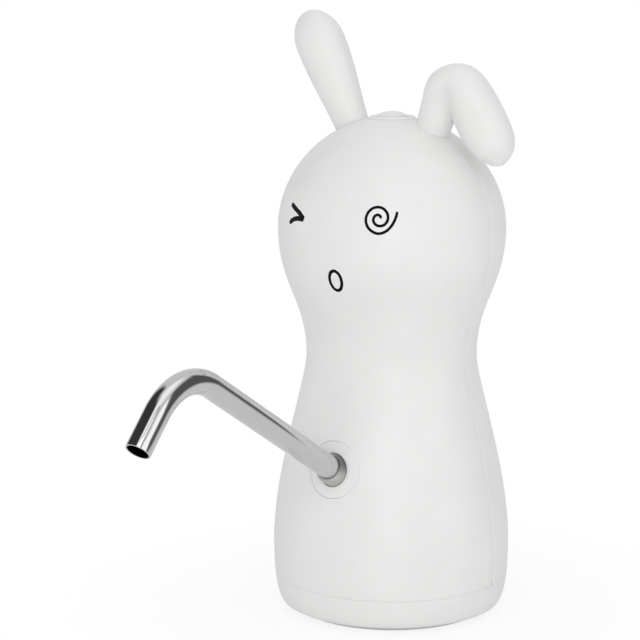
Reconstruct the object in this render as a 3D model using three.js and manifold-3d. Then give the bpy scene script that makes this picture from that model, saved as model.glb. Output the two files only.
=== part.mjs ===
// An electric pump for a water jug, shaped as a rabbit: a turned casing in two halves on a foot ring,
// two ears, a push button on the crown, a steel spout that swivels in a soft sleeve, and inside it the
// neck socket, gear pump, motor, cell, circuit and switch. Millimetres, +Z up. The origin is the middle
// of the plane that the foot stands on, where the jug's neck comes in, and the spout points along -Y.

import * as THREE from 'three';
import { mergeVertices } from 'three/addons/utils/BufferGeometryUtils.js';
import Module from 'manifold-3d';

const wasm = await Module();
wasm.setup();

// Clearances and cuts
const fitGap = 0.3;
const slideGap = 0.1;
const seamGap = 0.3;
const overrun = 250;
const shortOverrun = 12;
const mergeDistance = 0.0001;

// Casing outline: the foot flares into the bulb, draws in to the waist and opens to a round head
const footRadius = 31;
const bulbRadius = 38;
const bulbHeight = 21.5;
const waistRadius = 27.2;
const waistHeight = 82.5;
const headRadius = 36.1;
const headHeight = 123;
const crownHeight = 158.2;
const footFlareShare = 0.64;
const bulbLowerShare = 0.86;
const bulbUpperShare = 0.37;
const waistLowerShare = 0.14;
const waistUpperShare = 0.43;
const headLowerShare = 0.45;
const crownRoundShare = 0.54;
const outlineSteps = [4, 5, 4, 6];
const casingSides = 32;
const roundSides = 20;
const smallSides = 12;
const cornerSteps = 4;
const wall = 2;
const ribThickness = 1.6;

// Foot ring and its pad
const footRingHeight = 11.2;
const footFloor = 3;
const footMouthRadius = 28;
const footLipHeight = 2.6;
const footLipThickness = 1.2;
const tongueReach = 2;
const padHeight = 1.8;
const padWidth = 2.1;

// Neck socket and seal
const socketRadius = 29.2;
const socketWall = 1.6;
const socketDepth = 25.2;
const socketFlangeRadius = 33.6;
const socketFlangeThickness = 2.5;
const deckThickness = 2.4;
const sealThickness = 2;
const sealHeight = 8;
const sealRibs = 2;
const sealRibDepth = 0.5;

// Screws
const screwShank = 1;
const screwHeadRadius = 1.9;
const screwHeadHeight = 1.4;
const screwSides = 8;
const bossWall = 1.6;
const screwBite = 5.5;
const footScrewCount = 3;
const footScrewCircle = 31.5;
const footScrewBossRadius = 2;
const deckScrewCount = 4;
const deckScrewCircle = 32.9;

// Gear pump: twin gears side by side under the motor
const pumpAxisY = 9.8;
const gearPitchRadius = 6;
const gearTeeth = 12;
const gearPressureAngle = 25;
const gearAddendumShare = 0.85;
const gearDedendumShare = 1.1;
const gearBacklash = 0.24;
const gearThickness = 8;
const gearRunningGap = 0.4;
const pumpWall = 2.4;
const pumpLift = 4;
const pumpCoverThickness = 2.4;
const pumpTopThickness = 2.1;
const pumpPocketRadius = 2.4;
const pumpPortOffset = 5.6;
const portBore = 1.7;
const spigotRadius = 2.8;
const spigotLength = 3.2;
const barbRadius = 2.6;
const barbLength = 6.5;
const outletLift = 4.7;
const pumpLugOffset = 18.9;
const pumpLugRadius = 3;
const pumpLugThickness = 2.6;
const shaftRadius = 1.15;
const idlerPinRadius = 1.5;

// Inlet nipple in the deck
const nippleFlangeRadius = 6.5;
const nippleFlangeThickness = 2.2;
const nippleStemRadius = 4.2;
const nippleBarbRadius = 3.6;
const nippleBore = 1.9;
const nippleDrop = 17.6;
const nippleStemDrop = 8;
const nippleNutAcross = 13;
const nippleNutHeight = 3.2;
const inletSealThickness = 0.7;
const inletSealHeight = 1.3;

// Motor
const motorRadius = 12.2;
const motorLength = 30.8;
const motorCanWall = 1;
const motorCapThickness = 2.5;
const magnetThickness = 1.6;
const magnetLength = 19;
const magnetArc = 130;
const magnetSteps = 8;
const armatureRadius = 8.6;
const armatureLength = 17;
const commutatorRadius = 3;
const commutatorLength = 4;
const terminalWidth = 2.4;
const terminalThickness = 0.6;
const terminalHeight = 3.4;
const terminalSpread = 4.5;
const dampingSleeveThickness = 0.9;
const dampingSleeveHeight = 16;
const dampingSleeveLift = 11;
const motorRibSpacing = 8;

// Cell and its cradle
const cellAxisY = -12.8;
const cellRadius = 9.2;
const cellLift = 7.1;
const cellHeadroom = 19.4;
const cellNubRadius = 3;
const cellNubHeight = 0.8;
const cradleWall = 1.2;
const cradleLip = 5;
const cradleTabWidth = 7;
const cradleTabHeight = 6;
const cradleTabThickness = 2.4;
const cradleTabDrop = 9;

// Circuit board, charge socket and lamp window at the back of the head
const boardWidth = 26;
const boardDrop = 15;
const boardRiseShare = 0.37;
const boardThickness = 1.6;
const boardClearance = 0.4;
const boardScrewInset = 3;
const boardScrewBite = 3.4;
const chipSize = 6;
const chipThickness = 1.2;
const coilSize = 8;
const coilThickness = 4;
const plugWidth = 9;
const plugHeight = 4.4;
const plugDepth = 5;
const chargeSocketWidth = 8.9;
const chargeSocketHeight = 3.2;
const chargeSocketLength = 7.6;
const chargeSocketWall = 0.4;
const chargeSocketDrop = 4;
const chargeTongueShare = 0.8;
const lampWindowRadius = 1.5;
const lampWindowRise = 4.6;

// Button, bezel, spring and switch on the crown
const buttonRadius = 4.7;
const buttonRise = 1.4;
const buttonDome = 1.3;
const buttonDomeShare = 0.8;
const buttonDomeSteps = 4;
const buttonSkirtWall = 0.8;
const buttonFlangeRadius = 5.6;
const buttonFlangeThickness = 1.4;
const buttonStemRadius = 1.3;
const buttonTravel = 1;
const bezelRadius = 7.6;
const bezelSleeveWall = 1;
const bezelDepth = 5.5;
const bezelCrest = 0.65;
const bezelCrestShare = 0.45;
const switchDepth = 14.2;
const switchBoardWidth = 37;
const switchBoardDepth = 17;
const switchBoardShift = 2.5;
const switchPostX = 15;
const switchPostY = 7.6;
const switchPostRadius = 2.4;
const switchSize = 4.6;
const switchHeight = 3.2;
const plungerRadius = 1.6;
const plungerRise = 1.4;
const plungerSeat = 1.6;
const springRadius = 4.25;
const springWire = 0.3;
const springTurns = 4;
const springStepsPerTurn = 8;
const springSides = 5;

// Ears
const earOffset = 15;
const earTilt = 24.6;
const earLength = 39.3;
const earBaseRadius = 5.6;
const earRadius = 8.15;
const earWidestShare = 0.72;
const earDepthShare = 0.95;
const earSwellShares = [1.12, 0.35, 0.62];
const earTipShare = 0.56;
const earNeckRadius = 3.2;
const earFlangeRadius = 5;
const earFlangeThickness = 1.5;
const earSeatGap = 0.3;
const earSides = 16;
const earLowerSteps = 6;
const earUpperSteps = 5;

// Spout, its sleeve and its socket
const spoutRadius = 3.75;
const spoutWall = 0.5;
const spoutHeight = 50.9;
const spoutRise = 31;
const spoutDrop = 47;
const spoutStraight = 72;
const spoutBendRadius = 20;
const spoutBendSteps = 8;
const spoutOutletLength = 11.4;
const spoutInsertion = 7.5;
const spoutSides = 16;
const sleeveThickness = 0.9;
const sleeveReach = 3;
const escutcheonRadius = 9;
const escutcheonFlangeRadius = 11;
const escutcheonFlangeThickness = 1.6;
const spoutBarrelRadius = 6.6;
const spoutBarrelDepth = 10.5;
const spoutBarbLength = 6.5;

// Hose between pump and spout, and its clips
const hoseBore = 2.8;
const hoseWall = 1.2;
const hoseSteps = 6;
const hoseClipWidth = 2.6;
const hoseClipThickness = 0.8;

// Wires
const wireRadius = 0.7;
const wireSides = 8;
const wireSteps = 10;
const longWireSteps = 18;
const motorWireShare = 0.09;
const cellWireShare = 0.33;
const motorWireBendShares = [0.6, 0.3];

// Colours, roughness and metalness
const finish = (color, roughness, metalness = 0) => (
  new THREE.MeshStandardMaterial({ color, roughness, metalness }));
const shellWhite = finish('#eeeeec', 0.55);
const innerWhite = finish('#dcdcd8', 0.6);
const sealGrey = finish('#c4c4c2', 0.8);
const sleeveGrey = finish('#b4b3b0', 0.75);
const steel = finish('#c8c9cb', 0.12, 1);
const plated = finish('#a9abae', 0.35, 1);
const gearNylon = finish('#f0ead8', 0.5);
const magnetGrey = finish('#3b3c40', 0.7);
const copperBrown = finish('#a8623a', 0.4, 1);
const boardGreen = finish('#1f5e3a', 0.5);
const cellBlue = finish('#3468a8', 0.4);
const blackPlastic = finish('#1c1c1e', 0.5);
const redWire = finish('#b02020', 0.55);
const blackWire = finish('#161616', 0.55);
const lampClear = finish('#e8f0f0', 0.2);

const axisZ = new THREE.Vector3(0, 0, 1);
const spot = (x, y, z) => new THREE.Vector3(x, y, z);
const flat = (x, y) => new THREE.Vector2(x, y);
const radians = (degrees) => THREE.MathUtils.degToRad(degrees);

// Closed meshes become solids, which are joined and cut

function signedVolume(spots, corners) {
  const [a, b, c] = [spot(), spot(), spot()];
  let six = 0;
  for (let index = 0; index < corners.length; index += 3) {
    a.fromArray(spots, 3 * corners[index]);
    b.fromArray(spots, 3 * corners[index + 1]);
    c.fromArray(spots, 3 * corners[index + 2]);
    six += a.dot(b.cross(c));
  }
  return six / 6;
}

function solidOf(geometry, place = new THREE.Matrix4()) {
  const bare = geometry.clone().applyMatrix4(place);
  Object.keys(bare.attributes)
    .filter((name) => name !== 'position')
    .forEach((name) => bare.deleteAttribute(name));
  const merged = mergeVertices(bare, mergeDistance);
  const spots = merged.attributes.position.array;
  const corners = [];
  for (let index = 0; index < merged.index.count; index += 3) {
    const [a, b, c] = [0, 1, 2].map((step) => merged.index.getX(index + step));
    if (a !== b && b !== c && c !== a) corners.push(a, b, c);
  }
  const facing = signedVolume(spots, corners) < 0 ? corners.reverse() : corners;
  return new wasm.Manifold(new wasm.Mesh({
    numProp: 3, vertProperties: new Float32Array(spots), triVerts: new Uint32Array(facing),
  }));
}

function geometryOf(solid) {
  const mesh = solid.getMesh();
  const geometry = new THREE.BufferGeometry();
  geometry.setAttribute('position', new THREE.BufferAttribute(new Float32Array(mesh.vertProperties), 3));
  geometry.setIndex(new THREE.BufferAttribute(new Uint32Array(mesh.triVerts), 1));
  geometry.computeVertexNormals();
  return geometry;
}

// Basic solids

const uprightToDirection = (direction) => new THREE.Quaternion()
  .setFromUnitVectors(axisZ, direction.clone().normalize());

const placed = (origin, direction = axisZ) => new THREE.Matrix4()
  .compose(origin, uprightToDirection(direction), spot(1, 1, 1));

function turned(profile, sides, origin = spot(0, 0, 0), direction = axisZ) {
  const closed = profile[0].x === 0 ? profile : [...profile, profile[0]];
  const geometry = new THREE.LatheGeometry(closed, sides).rotateX(Math.PI / 2);
  return solidOf(geometry, placed(origin, direction));
}

function rod(from, to, radius, sides = roundSides) {
  const along = to.clone().sub(from);
  const length = along.length();
  return turned([flat(0, 0), flat(radius, 0), flat(radius, length), flat(0, length)], sides, from, along);
}

const post = (x, y, low, high, radius, sides = roundSides) => (
  rod(spot(x, y, low), spot(x, y, high), radius, sides));

function ring(inner, outer, low, high, sides, x = 0, y = 0) {
  const profile = [flat(inner, low), flat(outer, low), flat(outer, high), flat(inner, high)];
  return turned(profile, sides, spot(x, y, 0));
}

function block(low, high) {
  const size = high.clone().sub(low);
  const middle = low.clone().add(high).multiplyScalar(0.5);
  return solidOf(new THREE.BoxGeometry(size.x, size.y, size.z).translate(middle.x, middle.y, middle.z));
}

function slab(shape, low, high, curveSegments = 12) {
  const geometry = new THREE.ExtrudeGeometry(shape, { depth: high - low, bevelEnabled: false, curveSegments });
  return solidOf(geometry.translate(0, 0, low));
}

const joined = (solids) => solids.reduce((whole, solid) => whole.add(solid));
const cutBy = (solid, tools) => tools.reduce((rest, tool) => rest.subtract(tool), solid);
// Blocks that hold all that lies between two levels, or on one side of a plane across the depth
const between = (low, high) => block(spot(-overrun, -overrun, low), spot(overrun, overrun, high));
const behind = (y) => block(spot(-overrun, y, -overrun), spot(overrun, overrun, overrun));
const ahead = (y) => block(spot(-overrun, -overrun, -overrun), spot(overrun, y, overrun));

function circleOfSpots(count, radius, firstAngle) {
  return Array.from({ length: count }, (_, index) => {
    const angle = radians(firstAngle + index * 360 / count);
    return flat(radius * Math.cos(angle), radius * Math.sin(angle));
  });
}

// A path given by its stations, so that straight stretches take few steps and bends take many
class StationPath extends THREE.Curve {
  constructor(points, tangents) {
    super();
    this.points = points;
    this.tangents = tangents;
  }

  indexAt(share) {
    return Math.round(share * (this.points.length - 1));
  }

  getPoint(share, target = spot()) {
    return target.copy(this.points[this.indexAt(share)]);
  }

  getPointAt(share, target) {
    return this.getPoint(share, target);
  }

  getTangentAt(share, target = spot()) {
    return target.copy(this.tangents[this.indexAt(share)]);
  }
}

function tube(path, radius, bore, steps, sides) {
  const shape = new THREE.Shape(circleOfSpots(sides, radius, 0));
  if (bore) shape.holes.push(new THREE.Path(circleOfSpots(sides, bore, 0).reverse()));
  return solidOf(new THREE.ExtrudeGeometry(shape, { steps, bevelEnabled: false, extrudePath: path }));
}

function wire(points, steps) {
  return tube(new THREE.CatmullRomCurve3(points, false, 'centripetal'), wireRadius, 0, steps, wireSides);
}

// Casing

const waistRise = waistHeight - bulbHeight;
const headRise = headHeight - waistHeight;
const crownRise = crownHeight - headHeight;
const casingCurves = [
  new THREE.CubicBezierCurve(
    flat(footRadius, 0), flat(footRadius + (bulbRadius - footRadius) * footFlareShare, 0),
    flat(bulbRadius, bulbHeight * (1 - bulbLowerShare)), flat(bulbRadius, bulbHeight)),
  new THREE.CubicBezierCurve(
    flat(bulbRadius, bulbHeight), flat(bulbRadius, bulbHeight + waistRise * bulbUpperShare),
    flat(waistRadius, waistHeight - waistRise * waistLowerShare), flat(waistRadius, waistHeight)),
  new THREE.CubicBezierCurve(
    flat(waistRadius, waistHeight), flat(waistRadius, waistHeight + headRise * waistUpperShare),
    flat(headRadius, headHeight - headRise * headLowerShare), flat(headRadius, headHeight)),
  new THREE.CubicBezierCurve(
    flat(headRadius, headHeight), flat(headRadius, headHeight + crownRise * crownRoundShare),
    flat(headRadius * crownRoundShare, crownHeight), flat(0, crownHeight)),
];

function casingOutline(inset, steps = outlineSteps) {
  const outline = casingCurves.flatMap((curve, index) => {
    const points = [];
    for (let step = index ? 1 : 0; step <= steps[index]; step += 1) {
      const point = curve.getPoint(step / steps[index]);
      const tangent = curve.getTangent(step / steps[index]);
      points.push(flat(point.x - tangent.y * inset, point.y + tangent.x * inset));
    }
    return points;
  });
  outline.at(-1).x = 0;
  return outline;
}

function casingRadius(height, inset = 0) {
  const outline = casingOutline(inset);
  const next = outline.findIndex((point) => point.y >= height);
  const [low, high] = [outline[Math.max(next - 1, 0)], outline[Math.max(next, 1)]];
  return THREE.MathUtils.mapLinear(height, low.y, high.y, low.x, high.x);
}

function crownTop(radius, inset = 0) {
  const outline = casingOutline(inset).reverse();
  const next = outline.findIndex((point) => point.x >= radius);
  const [inner, outer] = [outline[next - 1], outline[next]];
  return THREE.MathUtils.mapLinear(radius, inner.x, outer.x, inner.y, outer.y);
}

function core(inset) {
  const outline = casingOutline(inset);
  return turned([flat(0, outline[0].y), ...outline], casingSides);
}

const outerCore = core(0);
const innerCore = core(wall);
const bossCore = core(wall / 2);
const shellBase = footRingHeight + seamGap / 2;

// Places that several pieces share
const padTop = padHeight;
const footFloorTop = padTop + footFloor;
const deckLow = footFloorTop + socketDepth - socketFlangeThickness;
const deckTop = deckLow + deckThickness;
const deckRadius = casingRadius(deckTop, wall) - fitGap;
const deckScrewSpots = circleOfSpots(deckScrewCount, deckScrewCircle, 45);
const footScrewSpots = circleOfSpots(footScrewCount, footScrewCircle, 90);
const gearModule = 2 * gearPitchRadius / gearTeeth;
const coverLow = deckTop + pumpLift;
const coverTop = coverLow + pumpCoverThickness;
const pumpLow = coverTop + fitGap;
const gearLow = pumpLow + gearRunningGap;
const chamberTop = gearLow + gearThickness + gearRunningGap;
const pumpTop = chamberTop + pumpTopThickness;
const motorLow = pumpTop + fitGap;
const motorTop = motorLow + motorLength;
const portY = pumpAxisY + pumpPortOffset;
const outletHeight = pumpLow + outletLift;
const lugSpots = [-1, 1].map((side) => flat(side * pumpLugOffset, pumpAxisY));
const chamberRadius = gearPitchRadius + gearModule * gearAddendumShare + slideGap;
const pumpBodyRadius = chamberRadius + pumpWall;
const idlerPinLow = coverLow + pumpCoverThickness / 2;
const idlerPinHigh = chamberTop + pumpTopThickness / 2;
const switchFace = crownHeight - switchDepth;
const cellBase = spoutHeight + cellLift;
const cellTop = switchFace - boardThickness - cellHeadroom;
const boardLow = headHeight - boardDrop;
const boardTop = headHeight + crownRise * boardRiseShare;
const boardMiddle = (boardLow + boardTop) / 2;
const boardBack = [boardLow, boardTop]
  .map((height) => Math.sqrt(casingRadius(height, wall) ** 2 - (boardWidth / 2) ** 2))
  .reduce((least, reach) => Math.min(least, reach)) - boardClearance;
const boardFace = boardBack - boardThickness;
const earLean = (side) => spot(side * Math.sin(radians(earTilt)), 0, Math.cos(radians(earTilt)));
const earFoot = (side) => spot(side * earOffset, 0, crownTop(earOffset));
const spoutAim = spot(0, -Math.cos(radians(spoutRise)), Math.sin(radians(spoutRise)));
const spoutRoot = spot(0, -casingRadius(spoutHeight), spoutHeight);
const along = (distance) => spoutRoot.clone().addScaledVector(spoutAim, distance);

// Screws are turned from the top of the head down to the tip
function screw(headTop, direction, length) {
  const profile = [
    flat(0, 0), flat(screwHeadRadius, 0), flat(screwHeadRadius, screwHeadHeight),
    flat(screwShank, screwHeadHeight), flat(screwShank, length), flat(0, length),
  ];
  return turned(profile, screwSides, headTop, direction);
}

const pilotRadius = screwShank + slideGap;
const screwPassRadius = screwShank + fitGap;
const screwHole = (from, to) => rod(from, to, pilotRadius, screwSides);

// Foot

function makeFootPad() {
  const inner = footRadius - padWidth;
  return ring(inner, footRadius, 0, padTop, casingSides);
}

function makeFootRing() {
  const top = footRingHeight - seamGap / 2;
  const outside = outerCore.intersect(between(padTop, top));
  const hollow = innerCore.intersect(between(footFloorTop, top + overrun));
  const lipInside = core(wall + footLipThickness);
  const lip = core(wall + slideGap).intersect(between(top - footLipHeight, top + footLipHeight))
    .add(core(wall / 2).intersect(between(top - footLipHeight, top))).subtract(lipInside);
  const mouth = post(0, 0, -overrun, overrun, footMouthRadius, casingSides);
  const holes = footScrewSpots.flatMap(({ x, y }) => [
    post(x, y, -overrun, overrun, screwPassRadius, screwSides),
    post(x, y, -overrun, padTop + screwHeadHeight + fitGap, screwHeadRadius + slideGap, screwSides),
  ]);
  return cutBy(outside.subtract(hollow).add(lip), [mouth, ...holes]);
}

function makeNeckSocket() {
  const outer = socketRadius + socketWall;
  const flangeTop = footFloorTop + socketFlangeThickness;
  const body = turned([
    flat(0, deckLow), flat(socketRadius, deckLow), flat(socketRadius, footFloorTop),
    flat(socketFlangeRadius, footFloorTop), flat(socketFlangeRadius, flangeTop), flat(outer, flangeTop),
    flat(outer, deckLow), flat(deckRadius, deckLow), flat(deckRadius, deckTop), flat(0, deckTop),
  ], casingSides);
  const bore = post(0, 0, -overrun, deckLow, socketRadius, casingSides);
  const bossTop = flangeTop + screwBite;
  const footBosses = footScrewSpots.map(({ x, y }) => (
    post(x, y, footFloorTop, bossTop, footScrewBossRadius, smallSides).subtract(bore)));
  const pumpBosses = lugSpots.map(({ x, y }) => (
    post(x, y, deckLow, pumpLow - fitGap, pumpLugRadius, smallSides)));
  const pilots = [
    ...footScrewSpots.map(({ x, y }) => post(x, y, -overrun, bossTop - fitGap, pilotRadius, screwSides)),
    ...deckScrewSpots.map(({ x, y }) => post(x, y, -overrun, overrun, screwPassRadius, screwSides)),
    ...lugSpots.map(({ x, y }) => post(x, y, deckTop, pumpLow, pilotRadius, screwSides)),
    post(0, portY, -overrun, overrun, nippleStemRadius + fitGap, smallSides),
  ];
  return cutBy(joined([body, ...footBosses, ...pumpBosses]), pilots);
}

function makeNeckSeal() {
  const outer = socketRadius - slideGap;
  const inner = outer - sealThickness;
  const low = footFloorTop + fitGap;
  const pitch = sealHeight / sealRibs;
  const high = low + sealHeight;
  const points = [flat(outer, low), flat(outer, high), flat(inner + sealRibDepth, high)];
  for (let ribTop = high; ribTop > low + fitGap; ribTop -= pitch) {
    points.push(flat(inner, ribTop - pitch / 2), flat(inner + sealRibDepth, ribTop - pitch));
  }
  return turned(points, casingSides);
}

function makeNipple() {
  const flangeTop = deckTop + nippleFlangeThickness;
  const seatFloor = flangeTop - inletSealHeight - fitGap * 2;
  const stemLow = deckLow - nippleStemDrop;
  const low = deckLow - nippleDrop;
  const seatRadius = spigotRadius + slideGap + inletSealThickness + slideGap;
  const profile = [
    flat(nippleBore, low), flat(nippleBarbRadius, low), flat(nippleBarbRadius, stemLow),
    flat(nippleStemRadius, stemLow), flat(nippleStemRadius, deckTop), flat(nippleFlangeRadius, deckTop),
    flat(nippleFlangeRadius, flangeTop), flat(seatRadius, flangeTop), flat(seatRadius, seatFloor),
    flat(nippleBore, seatFloor),
  ];
  return turned(profile, smallSides, spot(0, portY, 0));
}

function makeNippleNut() {
  const hexagon = new THREE.Shape(circleOfSpots(6, nippleNutAcross / 2 / Math.cos(Math.PI / 6), 0));
  hexagon.holes.push(new THREE.Path(circleOfSpots(smallSides, nippleStemRadius + slideGap * 2, 0).reverse()));
  return slab(hexagon, deckLow - nippleNutHeight, deckLow).translate([0, portY, 0]);
}

function makeInletSeal() {
  const inner = spigotRadius + slideGap;
  const high = deckTop + nippleFlangeThickness - fitGap;
  return ring(inner, inner + inletSealThickness, high - inletSealHeight, high, smallSides, 0, portY);
}

// Shells

const spoutNormal = (() => {
  const rise = casingRadius(spoutHeight - escutcheonRadius) - casingRadius(spoutHeight + escutcheonRadius);
  return spot(0, -2 * escutcheonRadius, rise).normalize();
})();
// A round tool through the wall about a place on it, from a depth below it to a rise above it
function throughWall(place, direction, radius, depth, rise, sides) {
  const from = place.clone().addScaledVector(direction, -depth);
  const to = place.clone().addScaledVector(direction, rise);
  return rod(from, to, radius, sides);
}

const spoutCut = (radius) => (
  throughWall(spoutRoot, spoutNormal, radius, shortOverrun, shortOverrun, roundSides));
const earCut = (side, radius, depth = shortOverrun, rise = shortOverrun) => (
  throughWall(earFoot(side), earLean(side), radius, depth, rise, earSides));

const bezelSleeveOuter = buttonRadius + fitGap + bezelSleeveWall;
const chargeSocketMiddle = boardMiddle - chargeSocketDrop;
const lampHeight = chargeSocketMiddle + chargeSocketDrop + lampWindowRise;

function slotShape(width, height) {
  const reach = (width - height) / 2;
  const shape = new THREE.Shape();
  shape.absarc(reach, 0, height / 2, -Math.PI / 2, Math.PI / 2, false);
  shape.absarc(-reach, 0, height / 2, Math.PI / 2, 3 * Math.PI / 2, false);
  return shape;
}

function slotAcross(width, height, fromY, toY, z) {
  const solid = slab(slotShape(width, height), 0, toY - fromY, cornerSteps);
  return solid.rotate([-90, 0, 0]).translate([0, fromY, z]);
}

function shellHalf(side) {
  const half = side < 0 ? ahead(-seamGap / 2) : behind(seamGap / 2);
  const casing = outerCore.subtract(innerCore).intersect(between(shellBase, crownHeight + overrun));
  const hull = casing.intersect(half);
  const deckSpots = deckScrewSpots.filter(({ y }) => y * side > 0);
  const deckBosses = deckSpots.map(({ x, y }) => post(
    x, y, deckTop, deckTop + screwBite + bossWall, screwShank + bossWall, smallSides).intersect(bossCore));
  const cuts = [
    ...deckSpots.map(({ x, y }) => post(x, y, deckTop, deckTop + screwBite, pilotRadius, screwSides)),
    post(0, 0, headHeight, crownHeight + overrun, bezelSleeveOuter + fitGap, roundSides),
    earCut(-1, earNeckRadius + fitGap),
    earCut(1, earNeckRadius + fitGap),
  ];
  return { hull: joined([hull, ...deckBosses]), cuts };
}

const cradleTabTop = cellTop - cradleTabDrop;
const cradleTabX = cellRadius + cradleWall + cradleTabWidth / 2;
const cradleTabMiddle = cradleTabTop - cradleTabHeight / 2;
const cradleTabBack = cellAxisY + cradleTabThickness / 2;

function makeFrontShell() {
  const { hull, cuts } = shellHalf(-1);
  const face = cradleTabBack - cradleTabThickness - fitGap;
  const across = (side, y) => spot(side * cradleTabX, y, cradleTabMiddle);
  const bosses = [-1, 1].map((side) => rod(
    across(side, -overrun), across(side, face), screwShank + bossWall, smallSides).intersect(bossCore));
  const pilots = [-1, 1].map((side) => (
    screwHole(across(side, face - screwBite), across(side, face + overrun))));
  const spoutHole = spoutCut(escutcheonRadius + fitGap);
  return cutBy(joined([hull, ...bosses]), [...cuts, ...pilots, spoutHole]);
}

const boardScrewSpots = [[-1, 1], [1, -1]]
  .map(([x, z]) => flat(
    x * (boardWidth / 2 - boardScrewInset), boardMiddle + z * ((boardTop - boardLow) / 2 - boardScrewInset)));
const motorX = -gearPitchRadius;
const dampingSleeveLow = motorLow + dampingSleeveLift;

// A strip along the seam on one side, rooted in the rear half and reaching into the front half
function seamTongue(hand) {
  const strip = (outerInset, fromY, toY) => {
    const inside = (point) => point.y > shellBase + footLipHeight + fitGap && point.x > bezelRadius;
    const edge = (inset) => casingOutline(inset).filter(inside).map(({ x, y }) => flat(x * hand, y));
    const shape = new THREE.Shape([...edge(outerInset), ...edge(wall + fitGap + footLipThickness).reverse()]);
    const geometry = new THREE.ExtrudeGeometry(shape, { depth: toY - fromY, bevelEnabled: false });
    return solidOf(geometry.rotateX(Math.PI / 2).translate(0, toY, 0));
  };
  return strip(wall + fitGap, -tongueReach, tongueReach).add(strip(wall / 2, seamGap / 2, tongueReach));
}

function makeRearShell() {
  const { hull, cuts } = shellHalf(1);
  const boardBosses = boardScrewSpots.map(({ x, y: z }) => rod(
    spot(x, boardBack + fitGap, z), spot(x, overrun, z), screwShank + bossWall, smallSides)
    .intersect(bossCore));
  const boardPilots = boardScrewSpots.map(({ x, y: z }) => screwHole(
    spot(x, boardBack, z), spot(x, boardBack + boardScrewBite, z)));
  const switchPosts = [-1, 1].map((side) => post(
    side * switchPostX, switchPostY, switchFace, crownHeight, switchPostRadius, smallSides)
    .intersect(bossCore));
  const switchPilots = [-1, 1].map((side) => post(
    side * switchPostX, switchPostY, switchFace, switchFace + screwBite, pilotRadius, screwSides));
  const ribSeat = motorRadius + dampingSleeveThickness + fitGap * 2;
  const firstRib = dampingSleeveLow + (dampingSleeveHeight - motorRibSpacing - ribThickness) / 2;
  const ribs = [firstRib, firstRib + motorRibSpacing].map((low) => (
    bossCore.intersect(between(low, low + ribThickness)).intersect(behind(pumpAxisY))
      .subtract(post(motorX, pumpAxisY, 0, crownHeight, ribSeat))));
  const tongue = cutBy(joined([-1, 1].map((hand) => seamTongue(hand))), [
    post(0, 0, headHeight, crownHeight, bezelSleeveOuter + fitGap * 2),
    earCut(-1, earFlangeRadius + fitGap * 2),
    earCut(1, earFlangeRadius + fitGap * 2),
    ring(0, deckRadius + fitGap, deckLow - fitGap, deckTop + fitGap, casingSides),
  ]);
  const chargeSlot = slotAcross(
    chargeSocketWidth + fitGap * 2, chargeSocketHeight + fitGap * 2, boardBack, overrun, chargeSocketMiddle);
  const lampHole = rod(
    spot(0, boardBack, lampHeight), spot(0, overrun, lampHeight), lampWindowRadius + slideGap, smallSides);
  return cutBy(joined([hull, ...boardBosses, ...switchPosts, ...ribs, tongue]), [
    ...cuts, ...boardPilots, ...switchPilots, chargeSlot, lampHole,
  ]);
}

// Ears: a flat-ended body laid ring by ring, cut to the head's surface, with a neck and a flange inside

function earPlug(side) {
  const neck = earCut(side, earNeckRadius, wall + earFlangeThickness + fitGap * 3, fitGap * 4);
  const flange = earCut(side, earFlangeRadius, wall + earFlangeThickness + fitGap * 3, -wall)
    .intersect(core(wall + fitGap));
  return neck.add(flange);
}

function laidSphere(rings, sides) {
  const geometry = new THREE.SphereGeometry(1, sides, rings.length - 1);
  const positions = geometry.attributes.position;
  rings.forEach(({ middle, across, depth }, ringIndex) => {
    for (let side = 0; side <= sides; side += 1) {
      const angle = 2 * Math.PI * (side % sides) / sides;
      const place = middle.clone().addScaledVector(across, Math.cos(angle));
      place.y += depth * Math.sin(angle);
      positions.setXYZ(ringIndex * (sides + 1) + side, place.x, place.y, place.z);
    }
  });
  return solidOf(geometry);
}

function makeUprightEar() {
  const widest = earLength * earWidestShare;
  const [swell, lowShare, highShare] = earSwellShares;
  const lower = new THREE.CubicBezierCurve(
    flat(earBaseRadius, 0), flat(earBaseRadius * swell, widest * lowShare),
    flat(earRadius, widest * highShare), flat(earRadius, widest));
  const upper = new THREE.CubicBezierCurve(
    flat(earRadius, widest), flat(earRadius, widest + (earLength - widest) * earTipShare),
    flat(earRadius * earTipShare, earLength), flat(0, earLength));
  const profile = [
    flat(0, -wall), flat(earBaseRadius, -wall),
    ...lower.getPoints(earLowerSteps), ...upper.getPoints(earUpperSteps).slice(1),
  ];
  profile[profile.length - 1].x = 0;
  const geometry = new THREE.LatheGeometry(profile, earSides).rotateX(Math.PI / 2).scale(1, earDepthShare, 1);
  const body = solidOf(geometry, placed(earFoot(-1), earLean(-1))).subtract(core(-earSeatGap));
  return body.add(earPlug(-1));
}

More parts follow.
